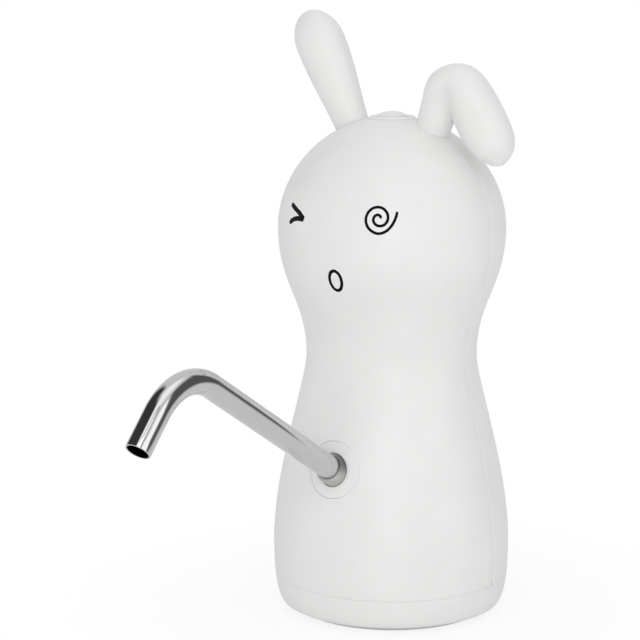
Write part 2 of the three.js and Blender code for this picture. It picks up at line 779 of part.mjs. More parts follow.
// Rings of the folded ear from its foot over the fold to its tip: the outer edge and the inner edge, out
// from and up from the middle of the foot as shares of the ear's length, and the half depth as a share of
// the ear's radius
const foldedRingShares = [
  [-0.147, 0, 0.1, -0.108, 0.66], [-0.128, 0.052, 0.13, -0.055, 0.66], [-0.104, 0.145, 0.166, 0.03, 0.67],
  [-0.08, 0.232, 0.18, 0.127, 0.69], [-0.057, 0.318, 0.178, 0.21, 0.73], [-0.027, 0.383, 0.173, 0.262, 0.79],
  [0.025, 0.442, 0.17, 0.29, 0.84], [0.098, 0.488, 0.17, 0.302, 0.88], [0.19, 0.512, 0.178, 0.308, 0.9],
  [0.285, 0.507, 0.188, 0.3, 0.92], [0.371, 0.466, 0.194, 0.28, 0.94], [0.446, 0.399, 0.197, 0.245, 0.96],
  [0.524, 0.303, 0.203, 0.175, 0.96], [0.601, 0.193, 0.226, 0.052, 0.96], [0.667, 0.078, 0.287, -0.068, 0.95],
  [0.711, -0.031, 0.357, -0.158, 0.9], [0.717, -0.136, 0.42, -0.212, 0.72], [0.68, -0.215, 0.487, -0.252, 0.42],
];
const foldedTipShares = [0.6, -0.272];

function makeFoldedEar() {
  const foot = earFoot(1);
  const place = (out, up) => spot(foot.x + out * earLength, 0, foot.z + up * earLength);
  const rings = foldedRingShares.map(([outerOut, outerUp, innerOut, innerUp, depthShare]) => {
    const outer = place(outerOut, outerUp);
    const inner = place(innerOut, innerUp);
    const across = outer.clone().sub(inner).multiplyScalar(0.5);
    return { middle: inner.add(across), across, depth: depthShare * earRadius };
  });
  const point = (middle) => ({ middle, across: spot(0, 0, 0), depth: 0 });
  const body = laidSphere([point(rings[0].middle), ...rings, point(place(...foldedTipShares))], earSides);
  return body.subtract(core(-earSeatGap)).add(earPlug(1));
}

// Button on the crown

const capTop = crownHeight + buttonRise;
const plungerTop = switchFace + switchHeight + plungerRise;
const bezelLow = crownHeight - bezelDepth;
const flangeTop = bezelLow - fitGap;

function makeBezel() {
  const inner = buttonRadius + fitGap;
  const edge = crownTop(bezelRadius) + slideGap;
  const crestRadius = inner + (bezelRadius - inner) * bezelCrestShare;
  const crest = crownTop(crestRadius) + bezelCrest;
  const collar = turned([
    flat(inner, edge - wall), flat(bezelRadius, edge - wall), flat(bezelRadius, edge + slideGap),
    flat((bezelRadius + crestRadius) / 2, crest - bezelCrest / 4), flat(crestRadius, crest),
    flat(inner, crest - bezelCrest / 2),
  ], roundSides).subtract(core(-slideGap));
  return collar.add(ring(inner, bezelSleeveOuter, bezelLow, crest - bezelCrest / 2, roundSides));
}

function makeButtonCap() {
  const skirtInner = buttonRadius - buttonSkirtWall;
  const flangeLow = flangeTop - buttonFlangeThickness;
  const shoulder = capTop - buttonDome;
  const rounding = new THREE.QuadraticBezierCurve(
    flat(buttonRadius, shoulder), flat(buttonRadius * buttonDomeShare, capTop), flat(0, capTop));
  const dome = rounding.getPoints(buttonDomeSteps).slice(1);
  dome[dome.length - 1].x = 0;
  const roof = shoulder - buttonSkirtWall * 2;
  return turned([
    flat(0, plungerTop + fitGap), flat(buttonStemRadius, plungerTop + fitGap), flat(buttonStemRadius, roof),
    flat(skirtInner, roof), flat(skirtInner, flangeLow), flat(buttonFlangeRadius, flangeLow),
    flat(buttonFlangeRadius, flangeTop), flat(buttonRadius, flangeTop), flat(buttonRadius, shoulder), ...dome,
  ], roundSides);
}

function makeButtonSpring() {
  const low = switchFace + springWire + slideGap;
  const high = flangeTop - buttonFlangeThickness - springWire - slideGap;
  const count = springTurns * springStepsPerTurn;
  const angles = Array.from({ length: count + 1 }, (_, index) => 2 * Math.PI * index / springStepsPerTurn);
  const points = angles.map((angle, index) => spot(
    springRadius * Math.cos(angle), springRadius * Math.sin(angle), low + (high - low) * index / count));
  const climb = (high - low) / springTurns;
  const circle = 2 * Math.PI * springRadius;
  const tangents = angles.map((angle) => (
    spot(-Math.sin(angle) * circle, Math.cos(angle) * circle, climb).normalize()));
  return tube(new StationPath(points, tangents), springWire, 0, count, springSides);
}

function makeSwitchBoard() {
  const [front, back] = [-1, 1].map((side) => switchBoardShift + side * switchBoardDepth / 2);
  const board = block(
    spot(-switchBoardWidth / 2, front, switchFace - boardThickness),
    spot(switchBoardWidth / 2, back, switchFace));
  const holes = [-1, 1].map((side) => post(
    side * switchPostX, switchPostY, -overrun, switchFace + overrun, screwPassRadius, screwSides));
  return cutBy(board.intersect(core(wall + footLipThickness + fitGap * 2)), holes);
}

function makeSwitchBody() {
  const half = switchSize / 2;
  const top = switchFace + switchHeight;
  const wellFloor = top - plungerSeat - buttonTravel - slideGap;
  const well = post(0, 0, wellFloor, plungerTop, plungerRadius + slideGap * 2, smallSides);
  return block(spot(-half, -half, switchFace), spot(half, half, top)).subtract(well);
}

function makePlunger() {
  return post(0, 0, switchFace + switchHeight - plungerSeat, plungerTop, plungerRadius, smallSides);
}

// Spout

const sleeveOuter = spoutRadius + slideGap + sleeveThickness;

function makeSpoutSocket() {
  const reach = wall + fitGap + escutcheonFlangeThickness;
  const skin = outerCore.subtract(core(reach));
  const disc = spoutCut(escutcheonRadius).intersect(skin);
  const flange = spoutCut(escutcheonFlangeRadius).intersect(core(wall + fitGap).subtract(core(reach)));
  const barrel = rod(along(-spoutBarrelDepth), along(-wall), spoutBarrelRadius, roundSides);
  const barbTip = along(-spoutBarrelDepth - spoutBarbLength);
  const barb = rod(barbTip, along(-spoutBarrelDepth + fitGap), barbRadius, smallSides);
  const bore = rod(along(-spoutInsertion - fitGap), along(overrun), sleeveOuter + fitGap, roundSides);
  const channel = rod(along(-overrun), along(0), portBore, smallSides);
  return cutBy(joined([disc, flange, barrel, barb]), [bore, channel]);
}

function makeSpoutSleeve() {
  const profile = [
    flat(spoutRadius + slideGap, -spoutInsertion), flat(sleeveOuter, -spoutInsertion),
    flat(sleeveOuter, sleeveReach), flat(spoutRadius + slideGap, sleeveReach),
  ];
  return turned(profile, spoutSides, spoutRoot, spoutAim);
}

function spoutPath() {
  const turn = radians(spoutRise + spoutDrop);
  const inPlane = (angle) => spot(0, -Math.cos(angle), Math.sin(angle));
  const bendStart = along(spoutStraight);
  const up = spot(0, Math.sin(radians(spoutRise)), Math.cos(radians(spoutRise)));
  const bendCentre = bendStart.clone().addScaledVector(up, -spoutBendRadius);
  const points = [along(fitGap - spoutInsertion)];
  const tangents = [spoutAim.clone()];
  for (let step = 0; step <= spoutBendSteps; step += 1) {
    const angle = radians(spoutRise) - turn * step / spoutBendSteps;
    const outFromCentre = spot(0, Math.sin(angle), Math.cos(angle));
    points.push(bendCentre.clone().addScaledVector(outFromCentre, spoutBendRadius));
    tangents.push(inPlane(angle));
  }
  const outward = inPlane(-radians(spoutDrop));
  points.push(points.at(-1).clone().addScaledVector(outward, spoutOutletLength));
  tangents.push(outward);
  return new StationPath(points, tangents);
}

function makeSpoutTube() {
  const path = spoutPath();
  return tube(path, spoutRadius, spoutRadius - spoutWall, path.points.length - 1, spoutSides);
}

// Pump

function stadium(radius) {
  const shape = new THREE.Shape();
  shape.absarc(gearPitchRadius, 0, radius, -Math.PI / 2, Math.PI / 2, false);
  shape.absarc(-gearPitchRadius, 0, radius, Math.PI / 2, 3 * Math.PI / 2, false);
  return shape;
}

const pumpSlab = (radius, low, high) => (
  slab(stadium(radius), low, high, roundSides / 2).translate([0, pumpAxisY, 0]));

function makePumpBody() {
  const shell = pumpSlab(pumpBodyRadius, pumpLow, pumpTop);
  const lugTop = pumpLow + pumpLugThickness;
  const lugs = lugSpots.map(({ x, y }) => post(x, y, pumpLow, lugTop, pumpLugRadius, smallSides));
  const arm = block(
    spot(-pumpLugOffset, pumpAxisY - pumpLugRadius, pumpLow),
    spot(pumpLugOffset, pumpAxisY + pumpLugRadius, lugTop));
  const barbRoot = pumpAxisY - pumpBodyRadius;
  const outletAxis = (y) => spot(0, y, outletHeight);
  const barb = rod(outletAxis(barbRoot - barbLength), outletAxis(barbRoot + pumpWall), barbRadius, smallSides);
  const outlet = rod(
    outletAxis(barbRoot - overrun), outletAxis(pumpAxisY - pumpPortOffset), portBore, smallSides);
  const chamber = [-1, 1].map((side) => post(
    side * gearPitchRadius, pumpAxisY, pumpLow - overrun, chamberTop, chamberRadius, roundSides));
  const pockets = [-1, 1].map((side) => post(
    0, pumpAxisY + side * pumpPortOffset, pumpLow - overrun, chamberTop, pumpPocketRadius, smallSides));
  return cutBy(joined([shell, arm, ...lugs, barb]), [
    ...chamber, ...pockets, outlet,
    post(motorX, pumpAxisY, pumpLow, pumpTop + overrun, shaftRadius + fitGap, smallSides),
    post(gearPitchRadius, pumpAxisY, pumpLow, idlerPinHigh, idlerPinRadius + slideGap, smallSides),
    ...lugSpots.map(({ x, y }) => post(x, y, -overrun, lugTop + overrun, screwPassRadius, screwSides)),
  ]);
}

function makePumpCover() {
  const plate = pumpSlab(pumpBodyRadius, coverLow, coverTop);
  const spigot = post(0, portY, coverLow - spigotLength, coverTop, spigotRadius, smallSides);
  return cutBy(plate.add(spigot), [
    post(0, portY, -overrun, coverTop + overrun, portBore, smallSides),
    post(gearPitchRadius, pumpAxisY, idlerPinLow, coverTop + overrun, idlerPinRadius + slideGap, smallSides),
  ]);
}

// One flank of a tooth runs from the root out along the involute to the tip
function gearShape(bore, firstAngle) {
  const pressure = radians(gearPressureAngle);
  const baseRadius = gearPitchRadius * Math.cos(pressure);
  const tipRadius = gearPitchRadius + gearModule * gearAddendumShare;
  const rootRadius = gearPitchRadius - gearModule * gearDedendumShare;
  const involute = (angle) => Math.tan(angle) - angle;
  const halfTooth = Math.PI / 2 / gearTeeth - gearBacklash / 4 / gearPitchRadius + involute(pressure);
  const flankRadii = [0, 0.5, 1].map((share) => baseRadius + (tipRadius - baseRadius) * share);
  const flank = [
    [rootRadius, halfTooth],
    ...flankRadii.map((radius) => [radius, halfTooth - involute(Math.acos(baseRadius / radius))]),
  ];
  const points = [];
  for (let tooth = 0; tooth < gearTeeth; tooth += 1) {
    const middle = radians(firstAngle) + 2 * Math.PI * tooth / gearTeeth;
    const place = ([radius, angle], hand) => flat(
      radius * Math.cos(middle + hand * angle), radius * Math.sin(middle + hand * angle));
    points.push(...flank.map((step) => place(step, -1)), ...flank.toReversed().map((step) => place(step, 1)));
  }
  const shape = new THREE.Shape(points);
  shape.holes.push(new THREE.Path(circleOfSpots(smallSides, bore, 0).reverse()));
  return shape;
}

function makeGear(x, bore, firstAngle) {
  return slab(gearShape(bore, firstAngle), gearLow, gearLow + gearThickness)
    .translate([x, pumpAxisY, 0]);
}

function makeIdlerPin() {
  return post(
    gearPitchRadius, pumpAxisY, idlerPinLow + slideGap, idlerPinHigh - slideGap, idlerPinRadius, smallSides);
}

// Motor

function makeMotorCan() {
  const inner = motorRadius - motorCanWall;
  const floorTop = motorLow + motorCanWall;
  const shaftSeat = shaftRadius + fitGap;
  return turned([
    flat(shaftSeat, motorLow), flat(motorRadius, motorLow), flat(motorRadius, motorTop),
    flat(inner, motorTop), flat(inner, floorTop), flat(shaftSeat, floorTop),
  ], roundSides, spot(motorX, pumpAxisY, 0));
}

const motorCapTop = motorTop + motorCapThickness;

function makeMotorCap() {
  const plugRadius = motorRadius - motorCanWall - slideGap;
  const shaftSeat = shaftRadius + fitGap;
  const plugLow = motorTop - motorCanWall;
  const cap = turned([
    flat(shaftSeat, plugLow), flat(plugRadius, plugLow), flat(plugRadius, motorTop),
    flat(motorRadius, motorTop), flat(motorRadius, motorCapTop), flat(shaftSeat, motorCapTop),
  ], roundSides, spot(motorX, pumpAxisY, 0));
  const terminals = [-1, 1].map((side) => {
    const x = motorX + side * terminalSpread;
    return block(
      spot(x - terminalWidth / 2, pumpAxisY - terminalThickness / 2, motorCapTop - motorCanWall),
      spot(x + terminalWidth / 2, pumpAxisY + terminalThickness / 2, motorCapTop + terminalHeight));
  });
  return joined([cap, ...terminals]);
}

const magnetLow = motorLow + (motorLength - magnetLength) / 2 - motorCanWall;

function makeMagnet(side) {
  const outer = motorRadius - motorCanWall - fitGap;
  const middle = side < 0 ? Math.PI : 0;
  const half = radians(magnetArc / 2);
  const shape = new THREE.Shape();
  shape.absarc(0, 0, outer, middle - half, middle + half, false);
  shape.absarc(0, 0, outer - magnetThickness, middle + half, middle - half, true);
  return slab(shape, magnetLow, magnetLow + magnetLength, magnetSteps).translate([motorX, pumpAxisY, 0]);
}

function makeRotor() {
  const armatureLow = magnetLow + (magnetLength - armatureLength) / 2;
  const armatureTop = armatureLow + armatureLength;
  const commutatorLow = armatureTop + motorCanWall;
  const commutatorTop = commutatorLow + commutatorLength;
  const shaftTop = motorCapTop - slideGap;
  return turned([
    flat(0, gearLow), flat(shaftRadius, gearLow), flat(shaftRadius, armatureLow),
    flat(armatureRadius, armatureLow), flat(armatureRadius, armatureTop), flat(shaftRadius, armatureTop),
    flat(shaftRadius, commutatorLow), flat(commutatorRadius, commutatorLow),
    flat(commutatorRadius, commutatorTop), flat(shaftRadius, commutatorTop), flat(shaftRadius, shaftTop),
    flat(0, shaftTop),
  ], roundSides, spot(motorX, pumpAxisY, 0));
}

function makeDampingSleeve() {
  const inner = motorRadius + fitGap;
  const outer = inner + dampingSleeveThickness;
  const high = dampingSleeveLow + dampingSleeveHeight;
  return ring(inner, outer, dampingSleeveLow, high, roundSides, motorX, pumpAxisY);
}

// Hose from the pump to the spout socket

const pumpBarbTip = pumpAxisY - pumpBodyRadius - barbLength;

function hosePath() {
  const pumpEnd = spot(0, pumpAxisY - pumpBodyRadius - fitGap, outletHeight);
  const spoutEnd = along(-spoutBarrelDepth - fitGap);
  const leadIn = barbLength;
  const curve = new THREE.CubicBezierCurve3(
    spot(0, pumpBarbTip, outletHeight), spot(0, pumpBarbTip - leadIn / 2, outletHeight),
    along(-spoutBarrelDepth - spoutBarbLength - leadIn / 2), along(-spoutBarrelDepth - spoutBarbLength));
  const points = [pumpEnd];
  const tangents = [spot(0, -1, 0)];
  for (let step = 0; step <= hoseSteps; step += 1) {
    points.push(curve.getPoint(step / hoseSteps));
    tangents.push(curve.getTangent(step / hoseSteps));
  }
  points.push(spoutEnd);
  tangents.push(spoutAim.clone());
  return new StationPath(points, tangents);
}

function makeHose() {
  const path = hosePath();
  return tube(path, hoseBore + hoseWall, hoseBore, path.points.length - 1, smallSides);
}

function makeHoseClip(origin, direction) {
  const inner = hoseBore + hoseWall + slideGap;
  const outer = inner + hoseClipThickness;
  const profile = [flat(inner, 0), flat(outer, 0), flat(outer, hoseClipWidth), flat(inner, hoseClipWidth)];
  return turned(profile, smallSides, origin, direction);
}

// Cell and cradle

function makeCell() {
  return turned([
    flat(0, cellBase), flat(cellRadius, cellBase), flat(cellRadius, cellTop - cellNubHeight),
    flat(cellNubRadius, cellTop - cellNubHeight), flat(cellNubRadius, cellTop), flat(0, cellTop),
  ], roundSides, spot(0, cellAxisY, 0));
}

function makeCradle() {
  const inner = cellRadius + fitGap;
  const outer = inner + cradleWall;
  const low = cellBase - fitGap;
  const top = cellTop + fitGap;
  const trough = ring(inner, outer, low - cradleWall, top + cradleWall, roundSides, 0, cellAxisY)
    .intersect(ahead(cellAxisY + cradleTabThickness / 2));
  const caps = [[low - cradleWall, low], [top, top + cradleWall]].map(([from, to]) => post(
    0, cellAxisY, from, to, outer).intersect(ahead(cellAxisY + cradleLip)));
  const tabs = [-1, 1].map((side) => {
    const ends = [side * (outer - cradleWall / 2), side * (outer + cradleTabWidth)];
    return block(
      spot(Math.min(...ends), cradleTabBack - cradleTabThickness, cradleTabTop - cradleTabHeight),
      spot(Math.max(...ends), cradleTabBack, cradleTabTop));
  });
  const tabAxis = (side, y) => spot(side * cradleTabX, y, cradleTabMiddle);
  const holes = [-1, 1].map((side) => (
    rod(tabAxis(side, -overrun), tabAxis(side, overrun), screwPassRadius, screwSides)));
  return cutBy(joined([trough, ...caps, ...tabs]), holes);
}

// Circuit board with its chip, coil and wire plugs, and what shows at the back of the head

const plugMiddle = boardLow + plugHeight;

function makeCircuitBoard() {
  const board = block(
    spot(-boardWidth / 2, boardFace, boardLow),
    spot(boardWidth / 2, boardBack, boardTop));
  const onFace = (x, z, width, height, thickness) => block(
    spot(x - width / 2, boardFace - thickness, z - height / 2),
    spot(x + width / 2, boardFace + boardThickness / 2, z + height / 2));
  const holes = boardScrewSpots.map(({ x, y: z }) => (
    rod(spot(x, 0, z), spot(x, overrun, z), screwPassRadius, screwSides)));
  return cutBy(joined([
    board,
    onFace(-boardWidth / 4, boardMiddle, chipSize, chipSize, chipThickness),
    onFace(boardWidth / 4, boardMiddle + coilSize / 2, coilSize, coilSize, coilThickness),
    onFace(-boardWidth / 4, plugMiddle, plugWidth, plugHeight, plugDepth),
  ]), holes);
}

function makeChargeSocket() {
  const mouth = boardBack + chargeSocketLength;
  const outside = slotAcross(chargeSocketWidth, chargeSocketHeight, boardBack, mouth, chargeSocketMiddle);
  const inside = slotAcross(
    chargeSocketWidth - 2 * chargeSocketWall, chargeSocketHeight - 2 * chargeSocketWall,
    boardBack + chargeSocketWall * 3, mouth + overrun, chargeSocketMiddle);
  const tongueTip = boardBack + chargeSocketLength * chargeTongueShare;
  const tongue = block(
    spot(-chargeSocketWidth / 4, boardBack + chargeSocketWall, chargeSocketMiddle - chargeSocketWall),
    spot(chargeSocketWidth / 4, tongueTip, chargeSocketMiddle + chargeSocketWall));
  return outside.subtract(inside).add(tongue);
}

function makeLampWindow() {
  const onAxis = (y) => spot(0, y, lampHeight);
  const root = onAxis(boardBack + fitGap);
  const pin = rod(root, onAxis(overrun), lampWindowRadius, smallSides);
  const collarTip = onAxis(casingRadius(lampHeight) - wall * 2);
  const collar = rod(root, collarTip, lampWindowRadius + fitGap * 2, smallSides);
  return pin.intersect(outerCore).add(collar);
}

// Wires

const plugFace = boardFace - plugDepth - fitGap * 2;
const plugEntry = (share) => spot(-boardWidth / 4 + plugWidth * share, plugFace, plugMiddle);
const wireStart = wireRadius + fitGap;

function makeMotorWire(side) {
  const x = motorX + side * terminalSpread;
  const from = spot(x, pumpAxisY, motorCapTop + terminalHeight + wireStart);
  const to = plugEntry(side * motorWireShare);
  const rise = (to.z - from.z) / 2;
  const [lowShare, highShare] = motorWireBendShares;
  const lowBend = spot(x, pumpAxisY, from.z + rise * lowShare);
  const highBend = spot(to.x, (from.y + to.y) / 2, to.z - rise * highShare);
  return wire([from, lowBend, highBend, to], wireSteps);
}

function makeCellWire(side) {
  const clear = cellRadius + cradleWall + wireStart * 2;
  const to = plugEntry(side * cellWireShare);
  if (side < 0) {
    const top = cellTop + fitGap + cradleWall + wireStart;
    const from = spot(0, cellAxisY + cradleLip, top);
    const over = spot(to.x / 2, cellAxisY + clear, top);
    return wire([from, over, spot(to.x, to.y / 2, (top + to.z) / 2), to], wireSteps);
  }
  const low = cellBase - fitGap - cradleWall - wireStart;
  const aside = cellRadius + cradleWall;
  return wire([
    spot(aside / 2, cellAxisY, low), spot(aside, cellAxisY + aside / 2, low),
    spot(clear, cellAxisY + aside, cellBase + clear), spot(clear, cellAxisY + clear, to.z - clear),
    spot(to.x / 2, (to.y + cellAxisY + clear) / 2, to.z), to,
  ], longWireSteps);
}

function makeSwitchWire() {
  const from = spot(switchSize, switchBoardShift, switchFace - boardThickness - wireStart);
  const to = spot(0, boardFace - wireStart, boardTop - plugHeight / 2);
  const under = spot(switchSize, switchBoardShift + switchBoardDepth / 2 + wireStart, from.z - wireStart);
  return wire([from, under, to], wireSteps);
}

// The whole

const pump = new THREE.Group();

function add(name, solid, material) {
  const mesh = new THREE.Mesh(geometryOf(solid), material);
  mesh.name = name;
  pump.add(mesh);
}

add('foot_pad', makeFootPad(), sealGrey);
add('foot_ring', makeFootRing(), shellWhite);
add('neck_socket', makeNeckSocket(), innerWhite);
add('neck_seal', makeNeckSeal(), sealGrey);
add('inlet_nipple', makeNipple(), innerWhite);
add('nipple_nut', makeNippleNut(), innerWhite);
add('inlet_seal', makeInletSeal(), sealGrey);
footScrewSpots.forEach(({ x, y }, index) => {
  const length = footFloor + socketFlangeThickness + screwBite - fitGap * 2;
  add(`foot_screw_${index + 1}`, screw(spot(x, y, padTop + slideGap), axisZ, length), plated);
});
deckScrewSpots.forEach(({ x, y }, index) => {
  const length = screwHeadHeight + deckThickness + screwBite - fitGap;
  add(`deck_screw_${index + 1}`, screw(spot(x, y, deckLow - screwHeadHeight), axisZ, length), plated);
});
add('front_shell', makeFrontShell(), shellWhite);
add('rear_shell', makeRearShell(), shellWhite);
add('upright_ear', makeUprightEar(), shellWhite);
add('folded_ear', makeFoldedEar(), shellWhite);
add('button_bezel', makeBezel(), shellWhite);
add('button_cap', makeButtonCap(), shellWhite);
add('button_spring', makeButtonSpring(), plated);
add('switch_board', makeSwitchBoard(), boardGreen);
[-1, 1].forEach((side, index) => {
  const head = spot(side * switchPostX, switchPostY, switchFace - boardThickness - screwHeadHeight);
  const length = screwHeadHeight + boardThickness + screwBite - fitGap;
  add(`switch_screw_${index + 1}`, screw(head, axisZ, length), plated);
});
add('switch_body', makeSwitchBody(), blackPlastic);
add('switch_plunger', makePlunger(), blackPlastic);
add('spout_socket', makeSpoutSocket(), shellWhite);
add('spout_sleeve', makeSpoutSleeve(), sleeveGrey);
add('spout_tube', makeSpoutTube(), steel);
add('outlet_hose', makeHose(), sealGrey);
const pumpClipSpot = spot(0, pumpAxisY - pumpBodyRadius - hoseClipWidth / 2, outletHeight);
const spoutClipSpot = along(-spoutBarrelDepth - hoseClipWidth / 2);
add('hose_clip_pump', makeHoseClip(pumpClipSpot, spot(0, -1, 0)), plated);
add('hose_clip_spout', makeHoseClip(spoutClipSpot, spoutAim.clone().negate()), plated);
add('pump_body', makePumpBody(), innerWhite);
add('pump_cover', makePumpCover(), innerWhite);
add('drive_gear', makeGear(motorX, shaftRadius + slideGap, 0), gearNylon);
add('idler_gear', makeGear(gearPitchRadius, idlerPinRadius + slideGap, 180 / gearTeeth), gearNylon);
add('idler_pin', makeIdlerPin(), steel);
[-1, 1].forEach((side, index) => {
  const head = spot(side * pumpLugOffset, pumpAxisY, pumpLow + pumpLugThickness + screwHeadHeight);
  const length = screwHeadHeight + pumpLugThickness + screwBite - fitGap;
  add(`pump_screw_${index + 1}`, screw(head, axisZ.clone().negate(), length), plated);
});
add('motor_can', makeMotorCan(), plated);
add('motor_cap', makeMotorCap(), blackPlastic);
add('motor_rotor', makeRotor(), copperBrown);
add('motor_magnet_1', makeMagnet(-1), magnetGrey);
add('motor_magnet_2', makeMagnet(1), magnetGrey);
add('damping_sleeve', makeDampingSleeve(), blackPlastic);
add('battery_cell', makeCell(), cellBlue);
add('battery_cradle', makeCradle(), innerWhite);
[-1, 1].forEach((side, index) => {
  const head = spot(side * cradleTabX, cradleTabBack + screwHeadHeight, cradleTabMiddle);
  const length = screwHeadHeight + cradleTabThickness + screwBite - fitGap;
  add(`cradle_screw_${index + 1}`, screw(head, spot(0, -1, 0), length), plated);
});
add('circuit_board', makeCircuitBoard(), boardGreen);
boardScrewSpots.forEach(({ x, y: z }, index) => {
  const length = screwHeadHeight + boardThickness + boardScrewBite - fitGap * 2;
  const head = spot(x, boardFace - screwHeadHeight, z);
  add(`board_screw_${index + 1}`, screw(head, spot(0, 1, 0), length), plated);
});
add('charge_socket', makeChargeSocket(), plated);
add('lamp_window', makeLampWindow(), lampClear);
add('motor_wire_red', makeMotorWire(-1), redWire);
add('motor_wire_black', makeMotorWire(1), blackWire);
add('cell_wire_red', makeCellWire(-1), redWire);
add('cell_wire_black', makeCellWire(1), blackWire);
add('switch_wire', makeSwitchWire(), blackWire);

export default pump;
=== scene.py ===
"""An electric pump for a water jug, shaped as a rabbit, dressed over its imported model.

The outer pieces are made smooth here, and every other piece of the model gets its finish. Sizes are in
millimetres until a mesh is made. The frame is the model's: +Z up, the spout along -Y and the origin in the
middle of the foot.
"""

import functools
import logging
import math
from collections.abc import Callable, Iterable, Sequence
from dataclasses import dataclass
from enum import Enum

import bmesh
import bpy
import numpy as np
from bpy.types import Material, Mesh, Node, NodeSocket, NodeTree, Object, World
from mathutils import Matrix, Vector

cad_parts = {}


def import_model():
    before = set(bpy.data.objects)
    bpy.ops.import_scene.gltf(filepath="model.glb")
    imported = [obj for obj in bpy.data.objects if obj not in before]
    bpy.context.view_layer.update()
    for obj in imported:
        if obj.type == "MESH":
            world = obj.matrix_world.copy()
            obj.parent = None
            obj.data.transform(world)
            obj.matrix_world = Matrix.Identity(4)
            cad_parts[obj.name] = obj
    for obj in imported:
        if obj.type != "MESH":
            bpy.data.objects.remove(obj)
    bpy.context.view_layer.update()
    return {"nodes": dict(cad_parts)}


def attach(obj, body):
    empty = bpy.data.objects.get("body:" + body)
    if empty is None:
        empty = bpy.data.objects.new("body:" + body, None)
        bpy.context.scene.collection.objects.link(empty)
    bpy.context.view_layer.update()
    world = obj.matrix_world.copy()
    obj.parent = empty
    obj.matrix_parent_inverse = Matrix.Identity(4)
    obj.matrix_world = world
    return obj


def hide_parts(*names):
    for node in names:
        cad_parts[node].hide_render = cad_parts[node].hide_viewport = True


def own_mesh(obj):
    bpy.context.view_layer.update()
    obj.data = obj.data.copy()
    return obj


log = logging.getLogger("jug_pump")

MM = 0.001
UP = Vector((0, 0, 1))
ACROSS = Vector((1, 0, 0))
ROUND_SIDES = 128
SHARP_ANGLE = 32.0
SOFT_ANGLE = 50.0
BLUNT_ANGLE = 60.0
CUT_PAST = 1.0

Point = tuple[float, float, float]
Flat = tuple[float, float]
Surface = Callable[[float, float], Vector]
Row = tuple[float, ...]
Ring = Sequence[bmesh.types.BMVert]
Settings = dict[str, object] | None
Inputs = dict[str | int, object] | None


class Body(Enum):
    """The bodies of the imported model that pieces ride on."""

    CASING = "casing"
    BUTTON = "button"
    SLEEVE = "sleeve"
    SPOUT = "spout"


# Node trees and shader maths


def linear(code: str) -> tuple[float, float, float, float]:
    """Turns a hexadecimal screen colour into a linear one.

    Args:
        code: Six hexadecimal digits.

    Returns:
        Red, green, blue and an alpha of 1.
    """
    parts = [int(code[at : at + 2], 16) / 255 for at in (0, 2, 4)]
    red, green, blue = (p / 12.92 if p <= 0.04045 else ((p + 0.055) / 1.055) ** 2.4 for p in parts)
    return red, green, blue, 1.0


class Nodes:
    """A node tree to which one method adds every node."""

    def __init__(self, tree: NodeTree) -> None:
        """Keeps the tree."""
        self.tree = tree

    def add(self, kind: str, settings: Settings = None, inputs: Inputs = None) -> Node:
        """Adds one node of any type.

        Args:
            kind: The node's type name.
            settings: Its properties, set first.
            inputs: Values, sockets or terms for its sockets, by name or number.

        Returns:
            The node.
        """
        made = self.tree.nodes.new(kind)
        for key, value in (settings or {}).items():
            setattr(made, key, value)
        for key, value in (inputs or {}).items():
            if isinstance(value, Term):
                value = value.socket
            if isinstance(value, NodeSocket):
                self.tree.links.new(value, made.inputs[key])
            else:
                made.inputs[key].default_value = value
        return made


class Term:
    """One output in a shader, which reads like a number in sums and products."""

    def __init__(self, graph: "Graph", socket: NodeSocket) -> None:
        """Wraps a socket of a graph."""
        self.graph = graph
        self.socket = socket

    def maths(self, operation: str, *values: "Term | float") -> "Term":
        """Adds one Math node on the values, in order."""
        return self.graph.node("ShaderNodeMath", {"operation": operation}, dict(enumerate(values)))

    def __add__(self, other: "Term | float") -> "Term":
        """Adds a term or number."""
        return self.maths("ADD", self, other)

    def __sub__(self, other: "Term | float") -> "Term":
        """Takes away a term or number."""
        return self.maths("SUBTRACT", self, other)

    def __rsub__(self, other: float) -> "Term":
        """Takes this term away from a number."""
        return self.maths("SUBTRACT", other, self)

    def __mul__(self, other: "Term | float") -> "Term":
        """Multiplies by a term or number."""
        return self.maths("MULTIPLY", self, other)

    def __truediv__(self, other: "Term | float") -> "Term":
        """Divides by a term or number."""
        return self.maths("DIVIDE", self, other)

    def __rtruediv__(self, other: float) -> "Term":
        """Divides a number by this term."""
        return self.maths("DIVIDE", other, self)

    __radd__ = __add__
    __rmul__ = __mul__

    def most(self, other: "Term | float") -> "Term":
        """Gives the larger of this and another."""
        return self.maths("MAXIMUM", self, other)

    def size(self) -> "Term":
        """Gives the value without its sign."""
        return self.maths("ABSOLUTE", self)

    def past_middle(self, period: float) -> "Term":
        """Gives how far the value is from the middle of its period, as a share from 0 to 0.5."""
        return (self.maths("MODULO", self, period) / period - 0.5).size()

    def rise(self, low: float, high: float) -> "Term":
        """Gives 0 below low and 1 above high, with a smooth step between them."""
        inputs = {"Value": self, "From Min": low, "From Max": high}
        return self.graph.node("ShaderNodeMapRange", {"interpolation_type": "SMOOTHSTEP"}, inputs)

    def band(self, low: float, high: float, soft: float) -> "Term":
        """Gives 1 between low and high, with soft edges."""
        return self.rise(low - soft, low + soft) * (1.0 - self.rise(high - soft, high + soft))


